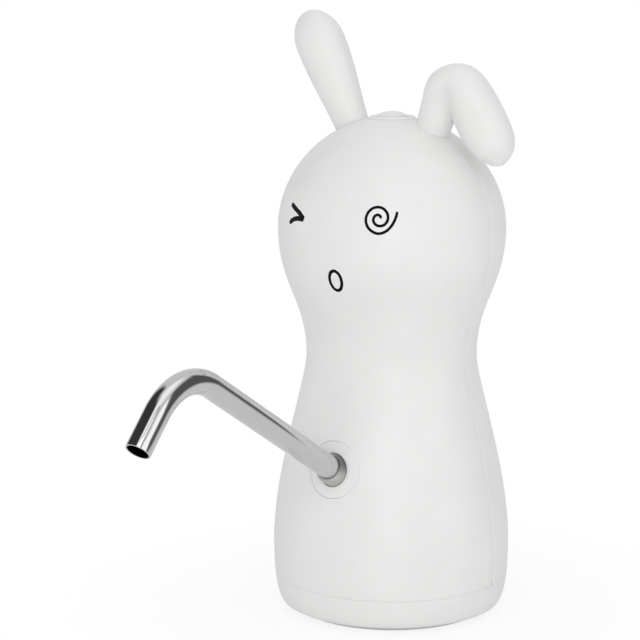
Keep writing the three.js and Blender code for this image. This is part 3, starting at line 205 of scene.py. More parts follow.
class Graph(Nodes):
    """The shader tree of a material or the world, built from terms."""

    def __init__(self, owner: Material | World) -> None:
        """Starts with an empty tree.

        Args:
            owner: What the tree belongs to.
        """
        owner.use_nodes = True
        super().__init__(owner.node_tree)
        self.owner = owner
        self.tree.nodes.clear()

    def node(self, kind: str, settings: Settings = None, inputs: Inputs = None,
             output: str | int = 0) -> Term:
        """Adds a node, and gives one of its outputs as a term."""
        return Term(self, self.add(kind, settings, inputs).outputs[output])

    @functools.cached_property
    def place(self) -> Term:
        """Gives the place on the piece, its object coordinates."""
        return self.node("ShaderNodeTexCoord", output="Object")

    def held(self, attribute: str, output: str = "Fac") -> Term:
        """Gives a number that the piece holds at each point, or a place with the output Vector."""
        return self.node("ShaderNodeAttribute", {"attribute_name": attribute}, output=output)

    def ray(self, kind: str) -> Term:
        """Gives 1 on rays of a kind, such as Camera."""
        return self.node("ShaderNodeLightPath", output=f"Is {kind} Ray")

    def part(self, place: Term, axis: str) -> Term:
        """Gives one of X, Y and Z of a place."""
        return self.node("ShaderNodeSeparateXYZ", {}, {"Vector": place}, axis)

    def stretched(self, place: Term, scale: Point, turn: Point = (0.0, 0.0, 0.0)) -> Term:
        """Scales a place by factors and turns it by degrees, so that a pattern on it follows the piece."""
        angles = tuple(math.radians(a) for a in turn)
        return self.node("ShaderNodeMapping", {}, {"Vector": place, "Scale": scale, "Rotation": angles})

    def noise(self, grain: float, detail: float = 2.0, rough: float = 0.5, place: Term | None = None) -> Term:
        """Adds noise about 0.5 whose features are about as long as a grain, in millimetres."""
        inputs = {"Vector": place or self.place, "Scale": 1 / (grain * MM)}
        return self.node("ShaderNodeTexNoise", {}, inputs | {"Detail": detail, "Roughness": rough})

    def cells(self, grain: float) -> Term:
        """Adds cells about a grain across, in millimetres, and gives the distance in each."""
        inputs = {"Vector": self.place, "Scale": 1 / (grain * MM)}
        return self.node("ShaderNodeTexVoronoi", {}, inputs, "Distance")

    def mix(self, share: Term, first: Term | str, second: Term | str) -> Term:
        """Mixes two colours, terms or hexadecimal screen colours, by a share from 0 to 1."""
        ends = [linear(end) if isinstance(end, str) else end for end in (first, second)]
        return self.node("ShaderNodeMix", {"data_type": "RGBA"}, {0: share, 6: ends[0], 7: ends[1]}, 2)

    def bump(self, height: Term, depth: float) -> Term:
        """Makes a normal from a height, where 1 stands for a depth in millimetres."""
        return self.node("ShaderNodeBump", {}, {"Height": height, "Distance": depth * MM, "Strength": 1.0})

    def show(self, surface: Term) -> None:
        """Links a shader to the tree's end."""
        end = "World" if isinstance(self.owner, World) else "Material"
        self.add(f"ShaderNodeOutput{end}", {}, {"Surface": surface})

    def close(self, sockets: dict[str | int, object]) -> None:
        """Ends the graph in one principled shader with these values and links."""
        self.show(self.node("ShaderNodeBsdfPrincipled", {}, sockets))


# Finishes


@dataclass(frozen=True)
class Finish:
    """A finish, which becomes a material when a piece first asks for it."""

    name: str

    @functools.cache
    def material(self) -> Material:
        """Makes the material once.

        Returns:
            The material.
        """
        graph = Graph(bpy.data.materials.new(self.name))
        self.paint(graph)
        return graph.owner

    def paint(self, graph: Graph) -> None:
        """Fills the material's graph."""
        raise NotImplementedError


@dataclass(frozen=True)
class MouldedPlastic(Finish):
    """Moulded plastic with a fine grain, slight clouding in its colour and uneven gloss."""

    colour: str
    deep: str
    roughness: float = 0.42
    uneven: float = 0.06
    grain: float = 0.35
    grain_depth: float = 0.006
    grain_rough: float = 0.6
    flow: float = 16.0
    flow_rough: float = 0.55
    flow_steps: Flat = (0.3, 0.7)
    wear_share: float = 1 / 3
    wear_steps: Flat = (0.35, 0.75)
    coat: float = 0.0
    coat_roughness: float = 0.2

    def paint(self, graph: Graph) -> None:
        """Fills the material's graph.

        Args:
            graph: The empty graph.
        """
        cloud = graph.noise(self.flow, 3.0, self.flow_rough).rise(*self.flow_steps)
        fine = graph.noise(self.grain, 2.0, self.grain_rough)
        wear = graph.noise(self.flow * self.wear_share, 4.0, self.grain_rough).rise(*self.wear_steps)
        graph.close({
            "Base Color": graph.mix(cloud, self.colour, self.deep),
            "Roughness": self.roughness + (wear - 0.5) * self.uneven + (fine - 0.5) * self.uneven,
            "Normal": graph.bump(fine, self.grain_depth),
            "Coat Weight": self.coat,
            "Coat Roughness": self.coat_roughness,
        })


@dataclass(frozen=True)
class SoftRubber(Finish):
    """Matt rubber or silicone with a dusty bloom, fine pitting and, inside a socket, painted shade on its
    upper side.
    """

    colour: str
    bloom: str
    roughness: float = 0.62
    pit: float = 0.5
    pit_depth: float = 0.012
    pit_steps: Flat = (0.0, 0.5)
    dust_grain: float = 5.0
    dust_rough: float = 0.62
    dust_steps: Flat = (0.42, 0.78)
    dust_matt: float = 0.14
    shine: float = 0.35
    # Painted shade: its colour, and the height and reach over which it darkens the piece towards the top and
    # both sides.
    painted_shade: str = ""
    painted_shade_level: float = 50.9
    painted_shade_reach: Flat = (2.6, 7.6)

    def paint(self, graph: Graph) -> None:
        """Fills the material's graph.

        Args:
            graph: The empty graph.
        """
        dust = graph.noise(self.dust_grain, 4.0, self.dust_rough).rise(*self.dust_steps)
        pits = graph.cells(self.pit).rise(*self.pit_steps)
        colour = graph.mix(dust, self.colour, self.bloom)
        # Painted shade: inside the socket the colour darkens towards the top and both sides of the sleeve,
        # where the socket shades it.
        if self.painted_shade:
            spot = graph.place
            high = graph.part(spot, "X").size() + graph.part(spot, "Z") - self.painted_shade_level * MM
            colour = graph.mix(high.rise(*(reach * MM for reach in self.painted_shade_reach)), colour, self.painted_shade)
        graph.close({
            "Base Color": colour,
            "Roughness": self.roughness + dust * self.dust_matt,
            "Normal": graph.bump(pits, self.pit_depth),
            "Specular IOR Level": self.shine,
        })


class Draw(Enum):
    """How the lines of a metal's surface run."""

    ALONG = "along"
    TURNED = "turned"


@dataclass(frozen=True)
class BareMetal(Finish):
    """Polished, turned or plated metal with faint working lines, handling marks and painted shade that
    darkens the bore.
    """

    colour: str
    dull: str
    roughness: float
    lines: float
    draw: Draw
    # The colour of painted shade inside the bore, none if empty.
    bore: str = ""
    bore_matt: float = 0.4
    line_depth: float = 0.00008
    line_share: float = 0.2
    along_grain: float = 0.25
    along_scale: Point = (1.0, 1.0, 0.02)
    turned_grain: float = 0.8
    turned_scale: Point = (0.05, 0.05, 3.0)
    smear_grain: float = 9.0
    smear_rough: float = 0.6
    smear_steps: Flat = (0.45, 0.8)
    smear_share: float = 0.6

    def paint(self, graph: Graph) -> None:
        """Fills the material's graph.

        Args:
            graph: The empty graph.
        """
        if self.draw is Draw.ALONG:
            wrapped = graph.stretched(graph.held("Wrap", "Vector"), self.along_scale)
            lined = graph.noise(self.along_grain, 3.0, place=wrapped)
        else:
            lined = graph.noise(self.turned_grain, 3.0, place=graph.stretched(graph.place, self.turned_scale))
        smear = graph.noise(self.smear_grain, 3.0, self.smear_rough).rise(*self.smear_steps)
        colour = graph.mix(smear * self.smear_share + lined * self.line_share, self.colour, self.dull)
        roughness = self.roughness + smear * self.lines + (lined - 0.5) * self.lines
        # Painted shade: the tube's inside wall is coloured near black, standing in for the shade in the bore;
        # it is also made rougher.
        if self.bore:
            inside = graph.held("Inside")
            colour = graph.mix(inside, colour, self.bore)
            roughness = roughness + inside * self.bore_matt
        normal = graph.bump(lined, self.line_depth)
        graph.close({"Base Color": colour, "Metallic": 1.0, "Roughness": roughness, "Normal": normal})


@dataclass(frozen=True)
class PrintedInk(Finish):
    """Pad-printed ink, matt and a little uneven."""

    colour: str
    thin: str
    roughness: float = 0.4
    thin_grain: float = 0.5
    thin_steps: Flat = (0.3, 0.8)
    thin_matt: float = 0.1
    shine: float = 0.06
    grain: float = 0.2
    grain_depth: float = 0.003

    def paint(self, graph: Graph) -> None:
        """Fills the material's graph.

        Args:
            graph: The empty graph.
        """
        density = graph.noise(self.thin_grain, 3.0, 0.6).rise(*self.thin_steps)
        graph.close({
            "Base Color": graph.mix(density, self.colour, self.thin),
            "Roughness": self.roughness + density * self.thin_matt,
            "Specular IOR Level": self.shine,
            "Normal": graph.bump(graph.noise(self.grain), self.grain_depth),
        })


@dataclass(frozen=True)
class CircuitGreen(Finish):
    """A circuit board under solder resist, with copper tracks and tinned dots."""

    resist: str
    track: str
    tin: str
    pitch: float = 1.6
    slant: float = 35.0
    track_edge: Flat = (0.16, 0.2)
    break_grain: float = 5.0
    break_steps: Flat = (0.48, 0.52)
    dot_grain: float = 2.4
    dot_edge: Flat = (0.16, 0.19)
    roughness: float = 0.38
    dot_gloss: float = 0.12
    raised: float = 0.03

    def paint(self, graph: Graph) -> None:
        """Fills the material's graph.

        Args:
            graph: The empty graph.
        """
        slanted = graph.stretched(graph.place, (1.0, 1.0, 1.0), (0.0, self.slant, 0.0))
        rows = graph.part(slanted, "X") + 1.0
        broken = graph.noise(self.break_grain, 1.0).rise(*self.break_steps)
        tracks = (1.0 - rows.past_middle(self.pitch * MM).rise(*self.track_edge)) * broken
        dots = 1.0 - graph.cells(self.dot_grain).rise(*self.dot_edge)
        graph.close({
            "Base Color": graph.mix(dots, graph.mix(tracks, self.resist, self.track), self.tin),
            "Roughness": self.roughness - dots * self.dot_gloss,
            "Metallic": dots,
            "Normal": graph.bump(tracks.most(dots), self.raised),
        })


@dataclass(frozen=True)
class WoundCopper(Finish):
    """Enamelled copper wire laid in turns, with painted shade darkening the groove between turns."""

    bright: str
    deep: str
    pitch: float = 0.45
    painted_shade_steps: Flat = (0.2, 1.0)
    roughness: float = 0.28
    shade_matt: float = 0.2
    wire_depth: float = 0.12

    def paint(self, graph: Graph) -> None:
        """Fills the material's graph.

        Args:
            graph: The empty graph.
        """
        # Painted shade: the colour goes from bright at each turn's crest to deep in the groove between turns;
        # the bump and roughness are real.
        turn = (graph.part(graph.place, "Z") + 1.0).past_middle(self.pitch * MM) * 2.0
        painted_shade = turn.rise(*self.painted_shade_steps)
        graph.close({
            "Base Color": graph.mix(painted_shade, self.bright, self.deep),
            "Metallic": 1.0,
            "Roughness": self.roughness + painted_shade * self.shade_matt,
            "Normal": graph.bump(1.0 - turn, self.wire_depth),
        })


@dataclass(frozen=True)
class ClearLens(Finish):
    """Clear moulded plastic in front of the lamps, slightly frosted."""

    colour: str
    frosted: str
    roughness: float = 0.12
    frost_grain: float = 0.4
    frost_matt: float = 0.1
    frost_depth: float = 0.004
    coat_roughness: float = 0.05

    def paint(self, graph: Graph) -> None:
        """Fills the material's graph.

        Args:
            graph: The empty graph.
        """
        frost = graph.noise(self.frost_grain, 3.0)
        graph.close({
            "Base Color": graph.mix(frost, self.colour, self.frosted),
            "Roughness": self.roughness + frost * self.frost_matt,
            "Normal": graph.bump(frost, self.frost_depth),
            "Coat Weight": 1.0,
            "Coat Roughness": self.coat_roughness,
        })


class Look(Enum):
    """Every finish of the pump, with a slot name that it keeps."""

    SHELL = MouldedPlastic("shell_white", "ebebea", "e8e8e7"), "shell_plastic"
    INNER = MouldedPlastic("inner_white", "dddcd8", "d3d2cc", 0.5, grain_depth=0.01), "inner_plastic"
    PAD = SoftRubber("foot_rubber", "e6e6e4", "ececea"), "seal_rubber"
    SEAL = SoftRubber("seal_rubber", "b9b9b6", "cbcbc8"), "seal_rubber"
    # The sleeve's last colour is painted shade on its upper side inside the socket.
    SLEEVE = SoftRubber("sleeve_silicone", "b4b3b1", "bebdbb", 0.5, painted_shade="646466"), "sleeve_silicone"
    # The steel's last colour is painted shade in the bore.
    STEEL = BareMetal("spout_steel", "d0d0d0", "c8c8c9", 0.035, 0.02, Draw.ALONG, "1e1e1f"), "spout_steel"
    PLATED = BareMetal("plated_steel", "b9bbbe", "94979b", 0.24, 0.12, Draw.TURNED), "plated_steel"
    INK = PrintedInk("face_ink", "0a0a0a", "141414"), "black_plastic"
    NYLON = MouldedPlastic("gear_nylon", "efe9d6", "e2d9bd", 0.4, flow=6.0)
    FERRITE = SoftRubber("magnet_ferrite", "34353a", "4a4b50", 0.55, pit=0.3, pit_depth=0.02)
    COPPER = WoundCopper("copper_winding", "c8794a", "7c3f22")
    BOARD = CircuitGreen("circuit_board", "1c5a38", "2e7d4e", "c9c6bd")
    WRAP = MouldedPlastic("cell_wrap", "2f62a6", "28528e", 0.25, coat=0.5, flow=9.0, grain_depth=0.012)
    BLACK = MouldedPlastic("black_plastic", "1d1d1f", "28282a", 0.45, flow=5.0)
    DAMPER = SoftRubber("damping_rubber", "1b1b1c", "2c2c2d")
    RED_WIRE = MouldedPlastic("wire_red", "b3221f", "9a1a18", 0.4, flow=4.0, grain=0.2)
    BLACK_WIRE = MouldedPlastic("wire_black", "17171a", "222226", 0.4, flow=4.0, grain=0.2)
    LAMP = ClearLens("lamp_clear", "e6edee", "d3dcdd")

    def __init__(self, finish: Finish, slot: str = "") -> None:
        """Keeps the finish and the slot."""
        self.finish = finish
        self.slot = slot


# Meshes


def even_turn(count: int) -> list[float]:
    """Gives the angles of a full turn in even steps."""
    return [2 * math.pi * step / count for step in range(count)]


def bezier(points: Sequence[Flat], share: float) -> Flat:
    """Gives the point of a cubic curve at a share of its parameter.

    Args:
        points: Its two ends with the two handles between them.
        share: The share, from 0 to 1.

    Returns:
        The point.
    """
    a, b, c, d = (np.array(p, float) for p in points)
    rest = 1 - share
    spot = rest**3 * a + 3 * rest**2 * share * b + 3 * rest * share**2 * c + share**3 * d
    return float(spot[0]), float(spot[1])


def level_way(turn: float) -> Vector:
    """Gives the level direction at a turn from -Y towards +X, in degrees."""
    return Vector((math.sin(math.radians(turn)), -math.cos(math.radians(turn)), 0))


def halved(past: Callable[[float], bool], low: float, high: float, steps: int) -> Flat:
    """Halves a range again and again about where a test turns true.

    Args:
        past: The test.
        low: Where it is false.
        high: Where it is true.
        steps: How often the range is halved.

    Returns:
        The range that is left.
    """
    for _ in range(steps):
        middle = (low + high) / 2
        low, high = (low, middle) if past(middle) else (middle, high)
    return low, high


def lengths_along(line: np.ndarray) -> np.ndarray:
    """Gives how far along a line each of its points is."""
    return np.concatenate([[0.0], np.cumsum(np.linalg.norm(np.diff(line, axis=0), axis=1))])


def smooth_by_angle(mesh: Mesh, degrees: float = SHARP_ANGLE) -> None:
    """Shades a mesh smooth, and marks as sharp the edges that turn more than an angle.

    Args:
        mesh: The mesh, changed in place.
        degrees: The angle.
    """
    bm = bmesh.new()
    bm.from_mesh(mesh)
    for face in bm.faces:
        face.smooth = True
    for edge in bm.edges:
        edge.smooth = not edge.is_manifold or edge.calc_face_angle(0.0) < math.radians(degrees)
    bm.to_mesh(mesh)
    bm.free()


def face_out(bm: bmesh.types.BMesh) -> None:
    """Turns all faces of a closed mesh outwards.

    Args:
        bm: The mesh, changed in place.
    """
    bmesh.ops.recalc_face_normals(bm, faces=bm.faces)
    if bm.calc_volume(signed=True) < 0:
        bmesh.ops.reverse_faces(bm, faces=bm.faces)


def object_of(name: str, mesh: Mesh, material: Material) -> Object:
    """Makes an object at the origin from a mesh and gives it one material.

    Args:
        name: The piece's name.
        mesh: Its mesh, in metres.
        material: Its material.

    Returns:
        The object, linked to the scene.
    """
    mesh.name = name
    mesh.materials.clear()
    mesh.materials.append(material)
    piece = bpy.data.objects.new(name, mesh)
    bpy.context.scene.collection.objects.link(piece)
    return piece


def settled(piece: Object) -> Mesh:
    """Removes a piece's modifiers and gives what they made of it.

    Args:
        piece: The piece.

    Returns:
        A plain mesh of its own.
    """
    graph = bpy.context.evaluated_depsgraph_get()
    mesh = bpy.data.meshes.new_from_object(piece.evaluated_get(graph), depsgraph=graph)
    piece.modifiers.clear()
    return mesh


class Draft:
    """A closed mesh being made, in millimetres."""

    def __init__(self) -> None:
        """Starts with nothing."""
        self.bm = bmesh.new()

    def grid(self, rows: Sequence[Sequence[Point]]) -> list[list[bmesh.types.BMVert]]:
        """Adds closed rows of vertices with quads between them.

        Args:
            rows: The rows, each with as many points.

        Returns:
            The vertices, row by row.
        """
        made = [[self.bm.verts.new(p) for p in row] for row in rows]
        for low, high in zip(made, made[1:]):
            self.strip(low, high)
        return made

    def strip(self, low: Ring, high: Ring) -> None:
        """Joins two rings of as many vertices by quads.

        Args:
            low: The first ring.
            high: The second ring.
        """
        for at in range(len(low)):
            after = (at + 1) % len(low)
            self.bm.faces.new((low[at], low[after], high[after], high[at]))

    def fan(self, ring: Ring, hub: Point | None) -> None:
        """Closes a ring of vertices with a fan.

        Args:
            ring: The ring.
            hub: Where the fan meets, None for the ring's middle.
        """
        middle = self.bm.verts.new(hub or tuple(sum((v.co for v in ring), Vector()) / len(ring)))
        for at, vert in enumerate(ring):
            self.bm.faces.new((vert, ring[(at + 1) % len(ring)], middle))

    def moved(self, matrix: Matrix) -> "Draft":
        """Applies a placement to every vertex."""
        bmesh.ops.transform(self.bm, matrix=matrix, verts=self.bm.verts)
        return self

    def finish(self, name: str, look: Look = Look.SHELL, sharp: float = SHARP_ANGLE) -> Object:
        """Ends the draft as an object in metres.

        Args:
            name: The piece's name.
            look: Its look.
            sharp: The angle in degrees past which an edge is sharp.

        Returns:
            The object.
        """
        face_out(self.bm)
        bmesh.ops.scale(self.bm, vec=(MM, MM, MM), verts=self.bm.verts)
        mesh = bpy.data.meshes.new(name)
        self.bm.to_mesh(mesh)
        self.bm.free()
        smooth_by_angle(mesh, sharp)
        return object_of(name, mesh, look.finish.material())


def loft(rows: Sequence[Sequence[Point]], hubs: Sequence[Point | None] = ()) -> Draft:
    """Joins closed rows of points into a closed mesh.

    Args:
        rows: The rows, each with as many points.
        hubs: Where the fans that close the first and the last row meet, None for a row's middle. Without
            them the last row joins the first.

    Returns:
        The draft.
    """
    draft = Draft()
    made = draft.grid(rows)
    for ring, hub in zip((made[0], made[-1]), hubs):
        draft.fan(ring, hub)
    if not hubs:
        draft.strip(made[-1], made[0])
    return draft


def frame_to(direction: Sequence[float], origin: Sequence[float]) -> Matrix:
    """Gives the placement that turns +Z to a direction and moves the origin to a spot."""
    turn = UP.rotation_difference(Vector(direction).normalized())
    return Matrix.Translation(Vector(origin)) @ turn.to_matrix().to_4x4()


def rounded(corners: Sequence[Flat], radii: Sequence[float], steps: int = 4) -> list[Flat]:
    """Rounds the corners of a profile.

    Args:
        corners: The profile's corners as (radius, height).
        radii: How far each corner is rounded, 0 to keep it.
        steps: The points that each rounding adds.

    Returns:
        The profile's points.
    """
    points: list[Flat] = []
    for at, (corner, radius) in enumerate(zip(corners, radii)):
        if radius <= 0 or at in (0, len(corners) - 1):
            points.append(corner)
            continue
        here = Vector(corner)
        start = here + (Vector(corners[at - 1]) - here).normalized() * radius
        end = here + (Vector(corners[at + 1]) - here).normalized() * radius
        for step in range(steps + 1):
            share = step / steps
            points.append(tuple(start.lerp(here, share).lerp(here.lerp(end, share), share)))
    return points


def spun(profile: Sequence[Flat], sides: int = ROUND_SIDES) -> Draft:
    """Turns a profile about Z.

    Args:
        profile: Points as (radius, height). A closed one ends where it starts; an open one starts and
            ends on the axis.
        sides: The number of sides.

    Returns:
        The closed draft.
    """
    closed = profile[0] == profile[-1]
    inner = profile[:-1] if closed else profile[1:-1]
    rows = [[(r * math.cos(a), r * math.sin(a), z) for a in even_turn(sides)] for r, z in inner]
    return loft(rows, () if closed else [(0.0, 0.0, end[1]) for end in (profile[0], profile[-1])])


def section(inner: float, outer: float, low: float, high: float) -> list[Flat]:
    """Gives the corners of a ring's section, from the lower inner one outwards."""
    return [(inner, low), (outer, low), (outer, high), (inner, high)]


def ringed(profile: Sequence[Flat], radii: Sequence[float], sides: int = ROUND_SIDES,
           steps: int = 4) -> Draft:
    """Turns a closed profile about Z after its corners are rounded.

    Args:
        profile: The corners in order, the first not repeated.
        radii: How far each is rounded.
        sides: The number of sides.
        steps: The points that each rounding adds.

    Returns:
        The closed draft.
    """
    points = rounded([profile[-1], *profile, profile[0]], [0, *radii, 0], steps)[1:-1]
    return spun([*points, points[0]], sides)


def rod(start: Sequence[float], aim: Sequence[float], radius: float, length: float, sides: int = 96) -> Draft:
    """Makes a round rod to cut with.

    Args:
        start: The middle of its first end.
        aim: The direction that it runs.
        radius: Its radius.
        length: Its length.
        sides: The number of sides.

    Returns:
        The rod.
    """
    return spun([(0, 0), (radius, 0), (radius, length), (0, length)], sides).moved(frame_to(aim, start))


def block(half: Point, top: float) -> Draft:
    """Makes a block about the Z axis to cut with.

    Args:
        half: Half its width and depth, and how far it reaches below zero.
        top: The height of its top.

    Returns:
        The block.
    """
    x, y, below = half
    draft = Draft()
    made = draft.grid([[(-x, -y, z), (x, -y, z), (x, y, z), (-x, y, z)] for z in (-below, top)])
    for ends in made:
        draft.bm.faces.new(ends)
    return draft


def cut(piece: Object, tools: Iterable[Draft]) -> None:
    """Cuts tools out of a piece and shades it again.

    Args:
        piece: The piece, changed in place.
        tools: The closed tools, used up.
    """
    for draft in tools:
        tool = draft.finish("tool")
        modifier = piece.modifiers.new("cut", "BOOLEAN")
        modifier.operation = "DIFFERENCE"
        modifier.solver = "EXACT"
        modifier.object = tool
        old = piece.data
        piece.data = settled(piece)
        bpy.data.meshes.remove(old)
        bpy.data.objects.remove(tool, do_unlink=True)
    smooth_by_angle(piece.data)


def dress(piece: Object, look: Look, *nodes: str, body: Body = Body.CASING) -> Object:
    """Makes a piece ride on its body and hides the model's nodes that it replaces.

    Args:
        piece: The finished piece.
        look: Its look; not used.
        nodes: The model's nodes that it replaces, if any.
        body: The body that carries it.

    Returns:
        The piece.
    """
    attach(piece, body.value)
    if nodes:
        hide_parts(*nodes)
    log.info("%s rides on %s, %d faces", piece.name, body.value, len(piece.data.polygons))
    return piece


# Geometry Nodes


class NodeTool(Nodes):
    """A Geometry Nodes tree with named inputs, run once on a piece."""

    def __init__(self, name: str, **inputs: str) -> None:
        """Starts a tree.

        Args:
            name: The tree's name.
            inputs: The socket type of each named input, such as Float.
        """
        super().__init__(bpy.data.node_groups.new(name, "GeometryNodeTree"))
        sockets = self.tree.interface
        for label, kind in {"Geometry": "Geometry", **inputs, "Finish": "Material"}.items():
            sockets.new_socket(name=label, in_out="INPUT", socket_type=f"NodeSocket{kind}")
        sockets.new_socket(name="Geometry", in_out="OUTPUT", socket_type="NodeSocketGeometry")
        self.given = self.tree.nodes.new("NodeGroupInput").outputs

    def node(self, kind: str, settings: Settings = None, inputs: Inputs = None,
             output: str | int = 0) -> NodeSocket:
        """Adds a node, and gives one of its outputs."""
        return self.add(kind, settings, inputs).outputs[output]

    def circle(self, resolution: object, radius: NodeSocket) -> NodeSocket:
        """Makes a circle, as a line."""
        inputs = {"Resolution": resolution, "Radius": radius}
        return self.node("GeometryNodeCurvePrimitiveCircle", {"mode": "RADIUS"}, inputs)

    def upward(self, height: NodeSocket) -> NodeSocket:
        """Makes a vector that rises by a height."""
        return self.node("ShaderNodeCombineXYZ", {}, {"Z": height})

    def captured(self, geometry: NodeSocket, kind: str, value: NodeSocket) -> Sequence[NodeSocket]:
        """Keeps a value of a kind, FLOAT or VECTOR, at each point of a geometry.

        Args:
            geometry: The geometry.
            kind: The value's kind.
            value: The value.

        Returns:
            The geometry and the kept value.
        """
        made = self.add("GeometryNodeCaptureAttribute")
        made.capture_items.new(kind, "Kept")
        for socket, end in ((geometry, "Geometry"), (value, "Kept")):
            self.tree.links.new(socket, made.inputs[end])
        return made.outputs["Geometry"], made.outputs["Kept"]

    def stored(self, geometry: NodeSocket, kind: str, name: str, value: NodeSocket) -> NodeSocket:
        """Stores a value as a named attribute of a geometry's points."""
        inputs = {"Geometry": geometry, "Name": name, "Value": value}
        return self.node("GeometryNodeStoreNamedAttribute", {"data_type": kind, "domain": "POINT"}, inputs)

    def close(self, geometry: NodeSocket) -> "NodeTool":
        """Ends the tree in Realize Instances and Set Material.

        Args:
            geometry: What the tree has made so far.

        Returns:
            The tool.
        """
        whole = self.node("GeometryNodeRealizeInstances", {}, {"Geometry": geometry})
        inputs = {"Geometry": whole, "Material": self.given["Finish"]}
        self.add("NodeGroupOutput", {}, {"Geometry": self.node("GeometryNodeSetMaterial", {}, inputs)})
        return self

    def copied(self, points: NodeSocket, instance: NodeSocket) -> "NodeTool":
        """Ends the tree with a copy of a geometry at each point."""
        inputs = {"Points": points, "Instance": instance}
        return self.close(self.node("GeometryNodeInstanceOnPoints", {}, inputs))

    def run(self, name: str, source: Mesh, look: Look, **values: object) -> Mesh:
        """Runs the tree on a mesh.

        Args:
            name: The result's name.
            source: The mesh that the tree starts from, in metres.
            look: The result's look.
            values: What each named input is set to.

        Returns:
            The plain mesh that the tree makes.
        """
        values["Finish"] = look.finish.material()
        carrier = bpy.data.objects.new(f"{name}_source", source)
        bpy.context.scene.collection.objects.link(carrier)
        modifier = carrier.modifiers.new(name, "NODES")
        modifier.node_group = self.tree
        for item in self.tree.interface.items_tree:
            if item.in_out == "INPUT" and item.name in values:
                modifier[item.identifier] = values[item.name]
        mesh = settled(carrier)
        bpy.data.objects.remove(carrier, do_unlink=True)
        mesh.name = name
        return mesh


def line_mesh(name: str, points: Sequence[Sequence[float]], joined: bool = True) -> Mesh:
    """Makes a mesh of points in millimetres.

    Args:
        name: Its name.
        points: The points.
        joined: Whether one open line joins them.

    Returns:
        The mesh, in metres.
    """
    mesh = bpy.data.meshes.new(name)
    edges = [(at, at + 1) for at in range(len(points) - 1)] if joined else []
    mesh.from_pydata([tuple(c * MM for c in p) for p in points], edges, [])
    return mesh


def swept_tube_tool() -> NodeTool:
    """Makes the tree that sweeps a circle along a line and keeps each point's place on the wall.

    Returns:
        The tool.
    """
    tool = NodeTool("swept_tube", Radius="Float", Sides="Int", Inside="Float")
    line = tool.node("GeometryNodeMeshToCurve", {}, {"Mesh": tool.given["Geometry"]})
    path, along = tool.captured(line, "FLOAT", tool.node("GeometryNodeSplineParameter", output="Length"))
    circle = tool.circle(tool.given["Sides"], tool.given["Radius"])
    section, around = tool.captured(circle, "VECTOR", tool.node("GeometryNodeInputPosition"))
    wall = tool.node("GeometryNodeCurveToMesh", {}, {"Curve": path, "Profile Curve": section})
    wrap = tool.node("ShaderNodeVectorMath", {"operation": "ADD"}, {0: around, 1: tool.upward(along)})
    placed = tool.stored(wall, "FLOAT_VECTOR", "Wrap", wrap)
    return tool.close(tool.stored(placed, "FLOAT", "Inside", tool.given["Inside"]))


def set_screws_tool() -> NodeTool:
    """Makes the tree that sets one screw at each point.

    Returns:
        The tool.
    """
    tool = NodeTool("set_screws", Screw="Object")
    inputs = {"Object": tool.given["Screw"]}
    screw = tool.node("GeometryNodeObjectInfo", {"transform_space": "ORIGINAL"}, inputs, "Geometry")
    return tool.copied(tool.given["Geometry"], screw)


def rib_stack_tool() -> NodeTool:
    """Makes the tree that stacks round ribs in a ring, one pitch apart.

    Returns:
        The tool.
    """
    sizes = dict.fromkeys(("Pitch", "Radius", "Thickness", "Height"), "Float")
    tool = NodeTool("rib_stack", Count="Int", Around="Int", Sides="Int", **sizes)
    given = tool.given
    first, step = tool.upward(given["Height"]), tool.upward(given["Pitch"])
    inputs = {"Count": given["Count"], "Start Location": first, "Offset": step}
    stations = tool.node("GeometryNodeMeshLine", {"mode": "OFFSET"}, inputs)
    circle = tool.circle(given["Around"], given["Radius"])
    profile = tool.circle(given["Sides"], given["Thickness"])
    rib = tool.node("GeometryNodeCurveToMesh", {}, {"Curve": circle, "Profile Curve": profile})
    return tool.copied(stations, rib)


# The casing's outline, which the ears, marks, bezel and escutcheon follow


